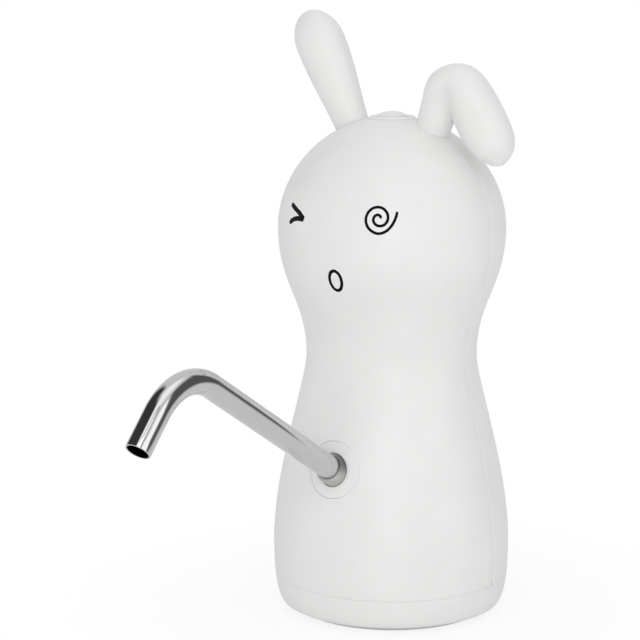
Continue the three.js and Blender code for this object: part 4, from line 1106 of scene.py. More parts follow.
@dataclass
class CasingOutline:
    """The turned outline of the casing, from the foot over bulb, waist and head to the crown."""

    foot_radius: float = 31.0
    bulb_radius: float = 37.98
    bulb_height: float = 21.5
    waist_radius: float = 27.2
    waist_height: float = 82.5
    head_radius: float = 36.1
    head_height: float = 123.0
    crown_height: float = 158.2
    foot_flare_share: float = 0.64
    bulb_lower_share: float = 0.86
    bulb_upper_share: float = 0.37
    waist_lower_share: float = 0.14
    waist_upper_share: float = 0.43
    head_lower_share: float = 0.45
    crown_round_share: float = 0.54
    steps: int = 90
    drop_reach: float = 30.0
    drop_halvings: int = 40

    def __post_init__(self) -> None:
        """Works the outline out once as tables of radius, height and outward direction."""
        bulb, waist = (self.bulb_radius, self.bulb_height), (self.waist_radius, self.waist_height)
        head, crown = (self.head_radius, self.head_height), (0.0, self.crown_height)
        waist_rise, head_rise, crown_rise = waist[1] - bulb[1], head[1] - waist[1], crown[1] - head[1]
        flare = self.foot_radius + (self.bulb_radius - self.foot_radius) * self.foot_flare_share
        curves = [
            ((self.foot_radius, 0.0), (flare, 0.0), (bulb[0], bulb[1] * (1 - self.bulb_lower_share)), bulb),
            (bulb, (bulb[0], bulb[1] + waist_rise * self.bulb_upper_share),
             (waist[0], waist[1] - waist_rise * self.waist_lower_share), waist),
            (waist, (waist[0], waist[1] + head_rise * self.waist_upper_share),
             (head[0], head[1] - head_rise * self.head_lower_share), head),
            (head, (head[0], head[1] + crown_rise * self.crown_round_share),
             (head[0] * self.crown_round_share, crown[1]), crown),
        ]
        points = [bezier(curves[0], 0.0)]
        for curve in curves:
            points += [bezier(curve, step / self.steps) for step in range(1, self.steps + 1)]
        self.crown_start = (len(curves) - 1) * self.steps
        self.points = np.array(points)
        slope = np.gradient(self.points, axis=0)
        normal = np.stack([slope[:, 1], -slope[:, 0]], axis=1)
        self.normals = normal / np.linalg.norm(normal, axis=1)[:, None]

    def line(self, inset: float = 0.0) -> np.ndarray:
        """Gives the outline moved inwards by an inset."""
        return self.points - self.normals * inset

    def crown(self, inset: float) -> np.ndarray:
        """Gives the part of that line from the head's widest ring to the top."""
        return self.line(inset)[self.crown_start :]

    def radius(self, height: float, inset: float = 0.0) -> float:
        """Gives the radius at a height."""
        line = self.line(inset)
        return float(np.interp(height, line[:, 1], line[:, 0]))

    def top(self, radius: float, inset: float = 0.0) -> float:
        """Gives the crown's height at a radius."""
        line = self.crown(inset)[::-1]
        return float(np.interp(radius, line[:, 0], line[:, 1]))

    def over(self, spot: Vector, gap: float) -> float:
        """Gives the height that is a gap above the crown at a spot."""
        return self.top(math.hypot(spot.x, spot.y), -gap)

    def between(self, low: float, top_radius: float, inset: float, count: int) -> list[Flat]:
        """Gives evenly spaced points from a height up to a radius on the crown.

        Args:
            low: The height of the first point.
            top_radius: The radius of the last point.
            inset: How far inside the outline they lie.
            count: How many there are.

        Returns:
            The points as (radius, height).
        """
        line = self.line(inset)
        crown = np.arange(len(line)) >= self.crown_start
        keep = (line[:, 1] > low) & ~(crown & (line[:, 0] < top_radius))
        first, last = (self.radius(low, inset), low), (top_radius, self.top(top_radius, inset))
        kept = np.array([first, *line[keep], last])
        along = lengths_along(kept)
        at = np.linspace(0.0, along[-1], count)
        return list(zip(np.interp(at, along, kept[:, 0]).tolist(), np.interp(at, along, kept[:, 1]).tolist()))

    def outward(self, turn: float, height: float) -> Vector:
        """Gives the outward direction at a turn from -Y towards +X, in degrees, and a height."""
        out, up = (float(np.interp(height, self.points[:, 1], self.normals[:, axis])) for axis in (0, 1))
        return level_way(turn) * out + UP * up

    def on(self, turn: float, height: float, proud: float = 0.0) -> Vector:
        """Gives the spot on the side at a turn and height, or as far outside it as it stands proud."""
        flush = level_way(turn) * self.radius(height) + UP * height
        return flush + self.outward(turn, height) * proud

    def drop(self, spot: Vector, aim: Vector, inset: float = 0.0) -> Vector:
        """Moves a spot along an aim until it lies on the outline at an inset.

        Args:
            spot: The spot.
            aim: The aim, from inside to outside.
            inset: How far inside the outline it ends.

        Returns:
            The spot on the outline.
        """

        def outside(reach: float) -> bool:
            """Says whether the spot is outside once it is moved."""
            at = spot + aim * reach
            return math.hypot(at.x, at.y) > self.radius(at.z, inset)

        return spot + aim * halved(outside, -self.drop_reach, self.drop_reach, self.drop_halvings)[0]


OUTLINE = CasingOutline()


@dataclass
class Casing:
    """The casing: a front and a rear half that meet in a fine seam at each side."""

    wall: float = 2.0
    seam_gap: float = 0.14
    edge: float = 0.2
    low: float = 11.24
    low_edge: float = 0.04
    notch_radius: float = 0.42
    notch_depth: float = 0.8
    notch_lift: float = 0.2
    notch_length: float = 3.0
    notch_sides: int = 16
    crown_hole: float = 6.3
    rows: int = 120
    columns: int = 132
    edge_columns: int = 4
    escutcheon_radius: float = 9.0
    escutcheon_hole: float = 8.98
    escutcheon_depth: float = 8.0
    spout_height: float = 50.9
    opening_start: float = 29.3
    opening_length: float = 30.7
    slot_width: float = 9.5
    slot_height: float = 3.8
    slot_level: float = 118.0
    slot_steps: int = 12
    lamp_level: float = 126.6
    lamp_radius: float = 1.6
    lamp_sides: int = 48

    def spout_aim(self) -> Vector:
        """Works out which way the escutcheon faces.

        Returns:
            The outward direction.
        """
        rise = OUTLINE.radius(self.spout_height - self.escutcheon_radius)
        rise -= OUTLINE.radius(self.spout_height + self.escutcheon_radius)
        return Vector((0, -2 * self.escutcheon_radius, rise)).normalized()

    def spout_root(self) -> Vector:
        """Gives the spot on the casing that the spout comes out at."""
        return Vector((0, -OUTLINE.radius(self.spout_height), self.spout_height))

    def _ring(self, outside: Flat, inside: Flat, side: int) -> list[Point]:
        """Gives one closed row of a half: seam face, rounded edge, outside, and back along the inside.

        Args:
            outside: The outer radius and height.
            inside: The inner radius and height.
            side: The half, front for -1 and rear for 1.

        Returns:
            The row's points.
        """
        (outer, height), (inner, inner_height) = outside, inside
        face, edge = self.seam_gap / 2, self.edge
        corner = [(outer - edge + edge * math.cos(a), face + edge - edge * math.sin(a), height)
                  for a in (math.pi / 2, math.pi / 4)]
        start = math.asin(min((face + edge) / outer, 1.0))
        sweep = [start + (math.pi - 2 * start) * step / self.columns for step in range(self.columns + 1)]
        points = corner + [(outer * math.cos(a), outer * math.sin(a), height) for a in sweep]
        points += [(-x, y, z) for x, y, z in reversed(corner)]
        start, count = math.asin(min(face / inner, 1.0)), self.columns + self.edge_columns
        sweep = [math.pi - start - (math.pi - 2 * start) * step / count for step in range(count + 1)]
        points += [(inner * math.cos(a), inner * math.sin(a), inner_height) for a in sweep]
        return [(x, side * y, z) for x, y, z in points]

    def half(self, side: int) -> Draft:
        """Builds one half.

        Args:
            side: The half, front for -1 and rear for 1.

        Returns:
            The half.
        """
        outer = OUTLINE.between(self.low, self.crown_hole, 0.0, self.rows)
        inner = OUTLINE.between(self.low, self.crown_hole, self.wall, self.rows)
        edge, raised = self.low_edge, self.low + self.low_edge
        foot = [(outer[0][0] - edge * (1 - math.cos(a)), self.low + edge * (1 - math.sin(a)))
                for a in (math.pi / 2, math.pi / 4)]
        foot.append((OUTLINE.radius(raised), raised))
        draft = Draft()
        made = draft.grid([*(self._ring(spot, (inner[0][0], spot[1]), side) for spot in foot),
                           *(self._ring(*pair, side) for pair in zip(outer[1:], inner[1:]))])
        for ends in (made[0], made[-1]):
            for at in range(len(ends) // 2 - 1):
                draft.bm.faces.new((ends[at], ends[at + 1], ends[-at - 2], ends[-at - 1]))
        return draft

    def _notches(self) -> list[Draft]:
        """Makes the tools for the small notches where the side seams end.

        Returns:
            The two tools.
        """
        level = self.low + self.notch_radius + self.notch_lift
        start = OUTLINE.radius(level) - self.notch_depth
        sizes = (self.notch_radius, self.notch_length, self.notch_sides)
        return [rod((side * start, 0, level), ACROSS * side, *sizes) for side in (1, -1)]

    def _charge_slot(self) -> Draft:
        """Makes the tool for the charge socket's opening, a bar with round ends.

        Returns:
            The tool.
        """
        reach, radius = (self.slot_width - self.slot_height) / 2, self.slot_height / 2
        angles = [math.pi * step / self.slot_steps - math.pi / 2 for step in range(self.slot_steps + 1)]
        half = [(reach + radius * math.cos(a), radius * math.sin(a)) for a in angles]
        edge = half + [(-x, -z) for x, z in half]
        ends = (self.opening_start, self.opening_start + self.opening_length)
        return loft([[(x, y, self.slot_level + z) for x, z in edge] for y in ends], (None, None))

    def build(self) -> None:
        """Builds both halves, cuts their openings and dresses them."""
        aim = self.spout_aim()
        start = self.spout_root() - aim * self.escutcheon_depth
        front = self.half(-1).finish("front_casing")
        cut(front, [rod(start, aim, self.escutcheon_hole, 3 * self.escutcheon_depth), *self._notches()])
        dress(front, Look.SHELL, "front_shell")
        spot = (0, self.opening_start, self.lamp_level)
        lamp = rod(spot, (0, 1, 0), self.lamp_radius, self.opening_length, self.lamp_sides)
        rear = self.half(1).finish("rear_casing")
        cut(rear, [self._charge_slot(), lamp, *self._notches()])
        dress(rear, Look.SHELL, "rear_shell")


@dataclass
class Foot:
    """The foot: a ring that closes the casing below, its rubber pad and three screws."""

    ring_top: float = 11.2
    ring_low: float = 1.8
    floor_top: float = 4.8
    wall: float = 2.0
    edge: float = 0.06
    low_edge: float = 0.5
    mouth_radius: float = 28.0
    mouth_edge: float = 0.3
    mouth_ease: float = 0.25
    flare_level: float = 0.2
    rise_rows: int = 22
    inner_rows: int = 14
    sides: int = 192
    pad_outer: float = 31.0
    pad_inner: float = 28.9
    pad_top: float = 1.79
    pad_edge: float = 0.25
    pad_ease: float = 0.1
    pad_steps: int = 6
    screw_circle: float = 31.5
    screw_count: int = 3
    screw_low: float = 1.9
    screw_head: float = 1.9
    screw_head_height: float = 1.4
    screw_shank: float = 1.0
    screw_length: float = 10.4
    screw_tip: float = 1.0
    screw_rounding: Row = (0.0, 0.5, 0.1, 0.1, 0.1, 0.0)
    screw_sides: int = 40
    cross_shares: Flat = (0.62, 0.2)
    cross_depth: float = 0.75
    recess_radius: float = 2.0
    recess_top: float = 3.5

    def _screw_spots(self) -> list[Point]:
        """Gives where the screws' heads start."""
        angles, reach = [math.pi / 2 + a for a in even_turn(self.screw_count)], self.screw_circle
        return [(reach * math.cos(a), reach * math.sin(a), self.screw_low) for a in angles]

    def ring(self) -> None:
        """Builds the foot ring with its screw recesses."""
        edge, low = self.mouth_edge, self.ring_low
        levels = np.linspace(low + self.low_edge, self.ring_top, self.rise_rows)
        rising = [(OUTLINE.radius(z), z) for z in levels]
        levels = np.linspace(self.ring_top, self.floor_top + edge, self.inner_rows)
        inside = [(OUTLINE.radius(z, self.wall), z) for z in levels]
        corners = [
            (self.mouth_radius, low), (OUTLINE.radius(low + self.flare_level) - edge, low),
            *rising, *inside, (inside[-1][0] - edge, self.floor_top), (self.mouth_radius, self.floor_top),
        ]
        plain = [0.0] * (self.rise_rows - 1), [0.0] * (self.inner_rows + 1)
        radii = [self.mouth_ease, self.low_edge, *plain[0], self.edge, *plain[1], edge]
        ring = ringed(corners, radii, self.sides).finish("base_ring")
        starts = [(x, y, -CUT_PAST) for x, y, _ in self._screw_spots()]
        reach = self.recess_top + CUT_PAST
        cut(ring, [rod(start, UP, self.recess_radius, reach, self.screw_sides) for start in starts])
        dress(ring, Look.SHELL, "foot_ring")

    def pad(self) -> None:
        """Builds the rubber pad with its rounded tread."""
        corners = section(self.pad_inner, self.pad_outer, 0.0, self.pad_top)
        radii = [self.pad_edge, self.pad_edge, self.pad_ease, self.pad_ease]
        draft = ringed(corners, radii, self.sides, self.pad_steps)
        dress(draft.finish("base_pad", Look.PAD), Look.PAD, "foot_pad")

    def screws(self) -> None:
        """Builds the screws, one cross-head screw set at each spot."""
        head, shank = self.screw_head, self.screw_shank
        corners = [(0, 0), (head, 0), (head, self.screw_head_height), (shank, self.screw_head_height),
                   (shank, self.screw_length - self.screw_tip), (0, self.screw_length)]
        screw = spun(rounded(corners, self.screw_rounding), self.screw_sides).finish("screw", Look.PLATED)
        arm, width = (head * share for share in self.cross_shares)
        bars = [block((arm, width, CUT_PAST), self.cross_depth) for _ in range(2)]
        cut(screw, [bars[0], bars[1].moved(Matrix.Rotation(math.pi / 2, 4, "Z"))])
        spots = line_mesh("screw_spots", self._screw_spots(), joined=False)
        mesh = set_screws_tool().run("foot_screws", spots, Look.PLATED, Screw=screw)
        bpy.data.objects.remove(screw, do_unlink=True)
        smooth_by_angle(mesh)
        screws = object_of("foot_screws", mesh, Look.PLATED.finish.material())
        dress(screws, Look.PLATED, *[f"foot_screw_{at + 1}" for at in range(self.screw_count)])

    def build(self) -> None:
        """Builds the ring, pad and screws."""
        self.ring()
        self.pad()
        self.screws()


@dataclass
class NeckSocket:
    """The socket that takes the jug's neck, with its seal, the inlet nipple and its nut."""

    radius: float = 29.2
    wall: float = 1.6
    bevel: float = 1.2
    flange_radius: float = 33.6
    flange_low: float = 4.8
    flange_top: float = 7.3
    deck_low: float = 27.5
    deck_top: float = 29.9
    deck_gap: float = 0.35
    casing_wall: float = 2.0
    cup_rounding: Row = (0.0, 0.9, 0.0, 0.4, 0.2, 0.2, 0.3, 0.2, 0.2, 0.2, 0.0)
    sides: int = 160
    seal_low: float = 5.1
    seal_height: float = 8.0
    seal_outer: float = 29.1
    seal_thickness: float = 1.3
    seal_rounding: Row = (0.4, 0.2, 0.2, 0.4)
    rib_count: int = 5
    rib_radius: float = 0.55
    rib_sides: int = 12
    nipple_y: float = 15.4
    nipple_bore: float = 1.9
    nipple_stem: float = 4.2
    nipple_barb: float = 3.6
    nipple_flange: float = 6.5
    nipple_low: float = 9.9
    nipple_gap: float = 0.1
    nipple_hole_low: float = 20.0
    nipple_seat: float = 0.05
    nipple_top: float = 2.2
    nipple_shoulder: float = 9.6
    nipple_edge: float = 0.2
    nipple_round: float = 0.12
    nipple_sides: int = 64
    nipple_steps: int = 3
    barb_count: int = 3
    barb_pitch: float = 2.8
    barb_step: float = 0.7
    barb_start: float = 0.4
    barb_rises: Point = (1.6, 1.8, 2.6)
    nut_across: float = 13.0
    nut_height: float = 3.2
    nut_gap: float = 0.02
    nut_chamfer: Flat = (0.55, 0.45)
    nut_edge: float = 0.1
    nut_bore_gap: float = 0.15
    nut_sides: int = 96

    def cup(self) -> None:
        """Builds the cup with its flange and deck."""
        inner, bevel, outer, flange = self.radius, self.bevel, self.radius + self.wall, self.flange_radius
        deck = OUTLINE.radius(self.deck_top, self.casing_wall) - self.deck_gap
        corners = [
            (0.0, self.deck_low), (inner - bevel, self.deck_low), (inner, self.deck_low - bevel),
            (inner, self.flange_low), (flange, self.flange_low), (flange, self.flange_top),
            (outer, self.flange_top), (outer, self.deck_low), (deck, self.deck_low), (deck, self.deck_top),
            (0.0, self.deck_top),
        ]
        cup = spun(rounded(corners, self.cup_rounding), self.sides).finish("neck_cup", Look.INNER)
        start = (0, self.nipple_y, self.nipple_hole_low)
        cut(cup, [rod(start, UP, self.nipple_stem + self.nipple_gap, self.nipple_hole_low, 48)])
        dress(cup, Look.INNER, "neck_socket")

    def seal(self) -> None:
        """Builds the seal: a band with ribs that grip the neck."""
        inner, top = self.seal_outer - self.seal_thickness, self.seal_low + self.seal_height
        corners = section(inner, self.seal_outer, self.seal_low, top)
        band = ringed(corners, self.seal_rounding, self.sides).finish("neck_seal_band", Look.SEAL)
        pitch = self.seal_height / self.rib_count
        ribs = rib_stack_tool().run(
            "neck_seal_ribs", bpy.data.meshes.new("rib_start"), Look.SEAL, Count=self.rib_count,
            Around=ROUND_SIDES, Sides=self.rib_sides, Pitch=pitch * MM, Radius=inner * MM,
            Thickness=self.rib_radius * MM, Height=(self.seal_low + pitch / 2) * MM)
        smooth_by_angle(ribs, BLUNT_ANGLE)
        for piece in (band, object_of("neck_seal_ribs", ribs, Look.SEAL.finish.material())):
            dress(piece, Look.SEAL, "neck_seal")

    def nipple(self) -> None:
        """Builds the barbed inlet nipple that the intake hose is pushed on."""
        bore, barb, stem, low = self.nipple_bore, self.nipple_barb, self.nipple_stem, self.nipple_low
        root, deck = barb - self.barb_step, self.deck_top
        seat, top = deck + self.nipple_seat, deck + self.nipple_top
        corners = [(bore, low), (root, low)]
        for at in range(self.barb_count):
            start = low + self.barb_start + at * self.barb_pitch
            corners += [(radius, start + rise) for radius, rise in zip((barb, root, root), self.barb_rises)]
        shoulder, flange = low + self.nipple_shoulder, self.nipple_flange
        corners += [(stem, shoulder), (stem, seat), (flange, seat), (flange, top), (bore, top)]
        radii = [self.nipple_edge] + [self.nipple_round] * (len(corners) - 1)
        draft = ringed(corners, radii, self.nipple_sides, self.nipple_steps)
        draft.moved(Matrix.Translation((0, self.nipple_y, 0)))
        dress(draft.finish("inlet_barb", Look.INNER), Look.INNER, "inlet_nipple")

    def nut(self) -> None:
        """Builds the nut below the deck, with chamfered corners."""
        low, high = self.deck_low - self.nut_height, self.deck_low - self.nut_gap
        flat, sixth = self.nut_across / 2, math.pi / 3
        point, bore = flat / math.cos(sixth / 2), self.nipple_stem + self.nut_bore_gap
        (taper, chamfer), edge = self.nut_chamfer, self.nut_edge
        angles = even_turn(self.nut_sides)

        def row(radii: Iterable[float], height: float) -> list[Point]:
            """Gives the points at these radii about the nipple."""
            return [(r * math.sin(a), self.nipple_y + r * math.cos(a), height) for r, a in zip(radii, angles)]

        hexed = [flat / math.cos((a % sixth) - sixth / 2) for a in angles]
        rows = [row((min(r, point - shrink) - inset for r in hexed), height) for shrink, inset, height in (
            (taper, 0.0, low), (0.0, 0.0, low + chamfer), (0.0, 0.0, high - edge), (edge, edge, high))]
        rows += [row([bore] * len(angles), height) for height in (high, low)]
        dress(loft(rows).finish("barb_nut", Look.INNER), Look.INNER, "nipple_nut")

    def build(self) -> None:
        """Builds the cup, seal, nipple and nut."""
        self.cup()
        self.seal()
        self.nipple()
        self.nut()


@dataclass
class Ears:
    """The two ears: one upright, one folded over the side of the head.

    The folded ear's shares give, from its foot to near its tip, the place of its outer and its inner edge as
    shares of its length, out and up from its foot, and its depth as a share of its radius.
    """

    offset: float = 15.0
    tilt: float = 24.6
    length: float = 39.3
    upright_length: float = 39.4
    base_radius: float = 5.6
    radius: float = 8.0
    widest_share: float = 0.72
    depth_share: float = 0.95
    swell_shares: Point = (1.12, 0.35, 0.62)
    tip_share: float = 0.53
    bow: float = 0.8
    seat_gap: float = 0.02
    seat_edge: float = 0.06
    seat_rows: tuple[Flat, ...] = ((3.0, 0.0), (1.0, 0.0), (0.3, 0.29))
    root_depth: float = 4.0
    lower_steps: int = 60
    upper_steps: int = 90
    first_ring: float = 0.012
    ring_power: float = 0.9
    clear_steps: int = 100
    clear_halvings: int = 24
    sides: int = 72
    rings: int = 80
    head_sides: int = 256
    folded_shares: tuple[tuple[float, float, float, float, float], ...] = (
        (-0.147, 0.0, 0.103, -0.108, 0.66), (-0.128, 0.052, 0.13, -0.055, 0.66),
        (-0.107, 0.145, 0.168, 0.03, 0.67), (-0.08, 0.232, 0.2, 0.12, 0.69),
        (-0.057, 0.318, 0.226, 0.2, 0.73), (-0.027, 0.383, 0.226, 0.24, 0.79),
        (0.025, 0.442, 0.216, 0.268, 0.84), (0.098, 0.488, 0.204, 0.28, 0.88),
        (0.19, 0.512, 0.196, 0.286, 0.9), (0.285, 0.507, 0.192, 0.276, 0.92),
        (0.371, 0.466, 0.186, 0.256, 0.94), (0.446, 0.399, 0.18, 0.216, 0.96),
        (0.524, 0.303, 0.184, 0.15, 0.96), (0.598, 0.192, 0.22, 0.05, 0.96),
        (0.662, 0.077, 0.287, -0.068, 0.95), (0.705, -0.032, 0.357, -0.158, 0.9),
        (0.71, -0.136, 0.42, -0.212, 0.72), (0.675, -0.215, 0.487, -0.252, 0.42))
    folded_tip_share: Flat = (0.6, -0.272)
    folded_least_step: float = 1.2
    voxel: float = 0.3
    smoothing: int = 5
    crease_low: Point = (17.0, -9.0, 152.5)
    crease_high: Point = (29.0, 9.0, 169.5)
    crease_soft: float = 2.5
    crease_smoothing: int = 900

    def foot(self, side: int) -> Vector:
        """Gives the middle of an ear's foot on the crown."""
        return Vector((side * self.offset, 0, OUTLINE.top(self.offset)))

    def upright_surface(self) -> Surface:
        """Works out the upright ear's skin.

        Returns:
            What gives a spot by its share of length and its angle.
        """
        tilt, length, foot = math.radians(self.tilt), self.upright_length, self.foot(-1)
        lean = Vector((-math.sin(tilt), 0, math.cos(tilt)))
        across = Vector((lean.z, 0, -lean.x))
        widest = length * self.widest_share
        swell, low_share, high_share = self.swell_shares
        lower = [(self.base_radius, 0.0), (self.base_radius * swell, widest * low_share),
                 (self.radius, widest * high_share), (self.radius, widest)]
        upper = [(self.radius, widest), (self.radius, widest + (length - widest) * self.tip_share),
                 (self.radius * self.tip_share, length), (0.0, length)]
        line = np.array([
            (self.base_radius, -self.root_depth),
            *(bezier(lower, step / self.lower_steps) for step in range(self.lower_steps + 1)),
            *(bezier(upper, step / self.upper_steps) for step in range(1, self.upper_steps + 1)),
        ])
        along = lengths_along(line)
        along /= along[-1]

        def surface(share: float, angle: float) -> Vector:
            """Gives one spot of the skin.

            Args:
                share: The share of the length.
                angle: The angle about it.

            Returns:
                The spot.
            """
            radius, height = (float(np.interp(share, along, line[:, axis])) for axis in (0, 1))
            bow = self.bow * max(height / length, 0) ** 3
            spot = foot + lean * height + across * (radius * math.cos(angle) - bow)
            spot.y += radius * self.depth_share * math.sin(angle)
            return spot

        return surface

    def folded_surface(self) -> Surface:
        """Works out the folded ear's skin.

        Returns:
            What gives a spot by its share of length and its angle.
        """
        foot = self.foot(1)
        shares = np.array(self.folded_shares)
        outer, inner = shares[:, 0:2] * self.length, shares[:, 2:4] * self.length
        reach = (outer - inner) / 2
        turns = np.unwrap(np.arctan2(reach[:, 1], reach[:, 0]))
        widths, depths = (reach**2).sum(axis=1), (shares[:, 4] * self.radius) ** 2
        rows = np.column_stack([(outer + inner) / 2, widths, turns, depths])
        tip = [*np.array(self.folded_tip_share) * self.length, 0.0, turns[-1], 0.0]
        table = np.vstack([rows, tip])
        steps = np.linalg.norm(np.diff(table[:, :2], axis=0), axis=1)
        steps[:-1] = np.maximum(steps[:-1], self.folded_least_step)
        along = np.concatenate([[0.0], np.cumsum(steps)])
        along /= along[-1]
        here = np.arange(len(table))
        before, after = np.maximum(here - 1, 0), np.minimum(here + 1, here[-1])
        slopes = (table[after] - table[before]) / (along[after] - along[before])[:, None]

        def blended(share: float) -> np.ndarray:
            """Follows a smooth curve through all rows of the table.

            Args:
                share: The share of the length.

            Returns:
                The row there.
            """
            at = min(int(np.searchsorted(along, share, side="right")) - 1, len(along) - 2)
            span = along[at + 1] - along[at]
            part = (share - along[at]) / span
            squared, cubed = part**2, part**3
            leaving, arriving = (cubed - 2 * squared + part) * span, (cubed - squared) * span
            start = (2 * cubed - 3 * squared + 1) * table[at] + leaving * slopes[at]
            return start + (3 * squared - 2 * cubed) * table[at + 1] + arriving * slopes[at + 1]

        def surface(share: float, angle: float) -> Vector:
            """Gives one spot of the skin.

            Args:
                share: The share of the length.
                angle: The angle about it.

            Returns:
                The spot.
            """
            out, up, width, turn, depth = blended(share)
            reach = math.sqrt(max(width, 0.0)) * math.cos(angle)
            deep = math.sqrt(max(depth, 0.0)) * math.sin(angle)
            return foot + Vector((out + reach * math.cos(turn), deep, up + reach * math.sin(turn)))

        return surface

    def _first_clear(self, surface: Surface, angle: float) -> float:
        """Finds the share at which a line along an ear comes out of the head.

        Args:
            surface: The ear's surface.
            angle: The line's angle.

        Returns:
            The share.
        """

        def clear(share: float) -> bool:
            """Says whether the line is outside the head there."""
            spot = surface(share, angle)
            return spot.z > OUTLINE.over(spot, self.seat_gap)

        steps = self.clear_steps
        first = next(step for step in range(steps + 1) if clear(step / steps))
        return halved(clear, max(first - 1, 0) / steps, first / steps, self.clear_halvings)[1]

    def upright(self) -> Draft:
        """Builds the upright ear, seated on the head with a rounded edge and closed below.

        Returns:
            The ear.
        """
        surface, angles = self.upright_surface(), even_turn(self.sides)
        starts = [self._first_clear(surface, a) for a in angles]
        first = [surface(s, a) for s, a in zip(starts, angles)]
        middle = sum(first, Vector()) / len(first)
        rows: list[list[Point]] = []
        for inset, lift in self.seat_rows:
            spots = [spot + (middle - spot).normalized() * (self.seat_edge * inset) for spot in first]
            rise = self.seat_edge * lift
            rows.append([(at.x, at.y, OUTLINE.over(at, self.seat_gap) + rise) for at in spots])
        for step in range(self.rings):
            part = (1 - math.cos(math.pi * (step / self.rings) ** self.ring_power)) / 2
            share = self.first_ring + part * (1 - self.first_ring)
            rows.append([tuple(surface(s + (1 - s) * share, a)) for s, a in zip(starts, angles)])
        seat = (middle.x, middle.y, OUTLINE.over(middle, self.seat_gap))
        return loft(rows, (seat, tuple(surface(1.0, 0.0))))

    def folded(self) -> Draft:
        """Builds the folded ear from root to tip, with its stem and droop pressed into each other.

        Returns:
            The ear.
        """
        surface, count = self.folded_surface(), 2 * self.rings
        shares = [(1 - math.cos(math.pi * step / count)) / 2 for step in range(1, count)]
        rows = [[tuple(surface(share, a)) for a in even_turn(self.sides)] for share in shares]
        return loft(rows, (None, tuple(surface(1.0, 0.0))))

    def fuse(self, piece: Object) -> None:
        """Makes one skin of a piece that runs into itself, and softens the crease of the fold.

        Args:
            piece: The piece, changed in place.
        """
        remesh = piece.modifiers.new("fuse", "REMESH")
        remesh.mode = "VOXEL"
        remesh.voxel_size = self.voxel * MM
        piece.data = settled(piece)
        bm = bmesh.new()
        bm.from_mesh(piece.data)
        axes = {f"use_axis_{axis}": True for axis in "xyz"}
        for _ in range(self.smoothing):
            bmesh.ops.smooth_vert(bm, verts=bm.verts, factor=0.5, **axes)
        bm.normal_update()
        bm.to_mesh(piece.data)
        bm.free()
        self._fill_crease(piece.data)

    def _fill_crease(self, mesh: Mesh) -> None:
        """Moves the points of the fold's crease to the middle of their neighbours, but never inward.

        Args:
            mesh: The ear's mesh, changed in place.
        """
        count = len(mesh.vertices)
        place = np.array([tuple(v.co) for v in mesh.vertices])
        out = np.array([tuple(v.normal) for v in mesh.vertices])
        here, there = np.array([tuple(e.vertices) for e in mesh.edges]).T
        here, there = np.concatenate([here, there]), np.concatenate([there, here])
        low, high = np.array(self.crease_low) * MM, np.array(self.crease_high) * MM
        share = np.clip(np.minimum(place - low, high - place).min(axis=1) / (self.crease_soft * MM), 0, 1)
        inside = np.flatnonzero(share)
        order = np.full(count, -1)
        order[inside] = np.arange(len(inside))
        there, here = there[share[here] > 0], order[here[share[here] > 0]]
        near = np.bincount(here, minlength=len(inside))[:, None]
        share, out = share[inside, None], out[inside]
        for _ in range(self.crease_smoothing):
            total = np.stack([np.bincount(here, line, len(inside)) for line in place[there].T], axis=1)
            step = total / near - place[inside]
            place[inside] += share * 0.5 * step * ((step * out).sum(axis=1, keepdims=True) > 0)
        mesh.vertices.foreach_set("co", place.ravel())
        mesh.update()

    def _head(self) -> Draft:
        """Makes the crown as a tool that trims an ear to the head, a seat's gap above it.

        Returns:
            The tool.
        """
        crown = OUTLINE.crown(-self.seat_gap)
        profile = [(0.0, OUTLINE.head_height), *(tuple(p) for p in crown[:-1]), (0.0, float(crown[-1][1]))]
        return spun(profile, self.head_sides)

    def build(self) -> None:
        """Builds both ears."""
        dress(self.upright().finish("ear_upright", sharp=SOFT_ANGLE), Look.SHELL, "upright_ear")
        folded = self.folded().finish("ear_folded")
        self.fuse(folded)
        cut(folded, [self._head()])
        dress(folded, Look.SHELL, "folded_ear")


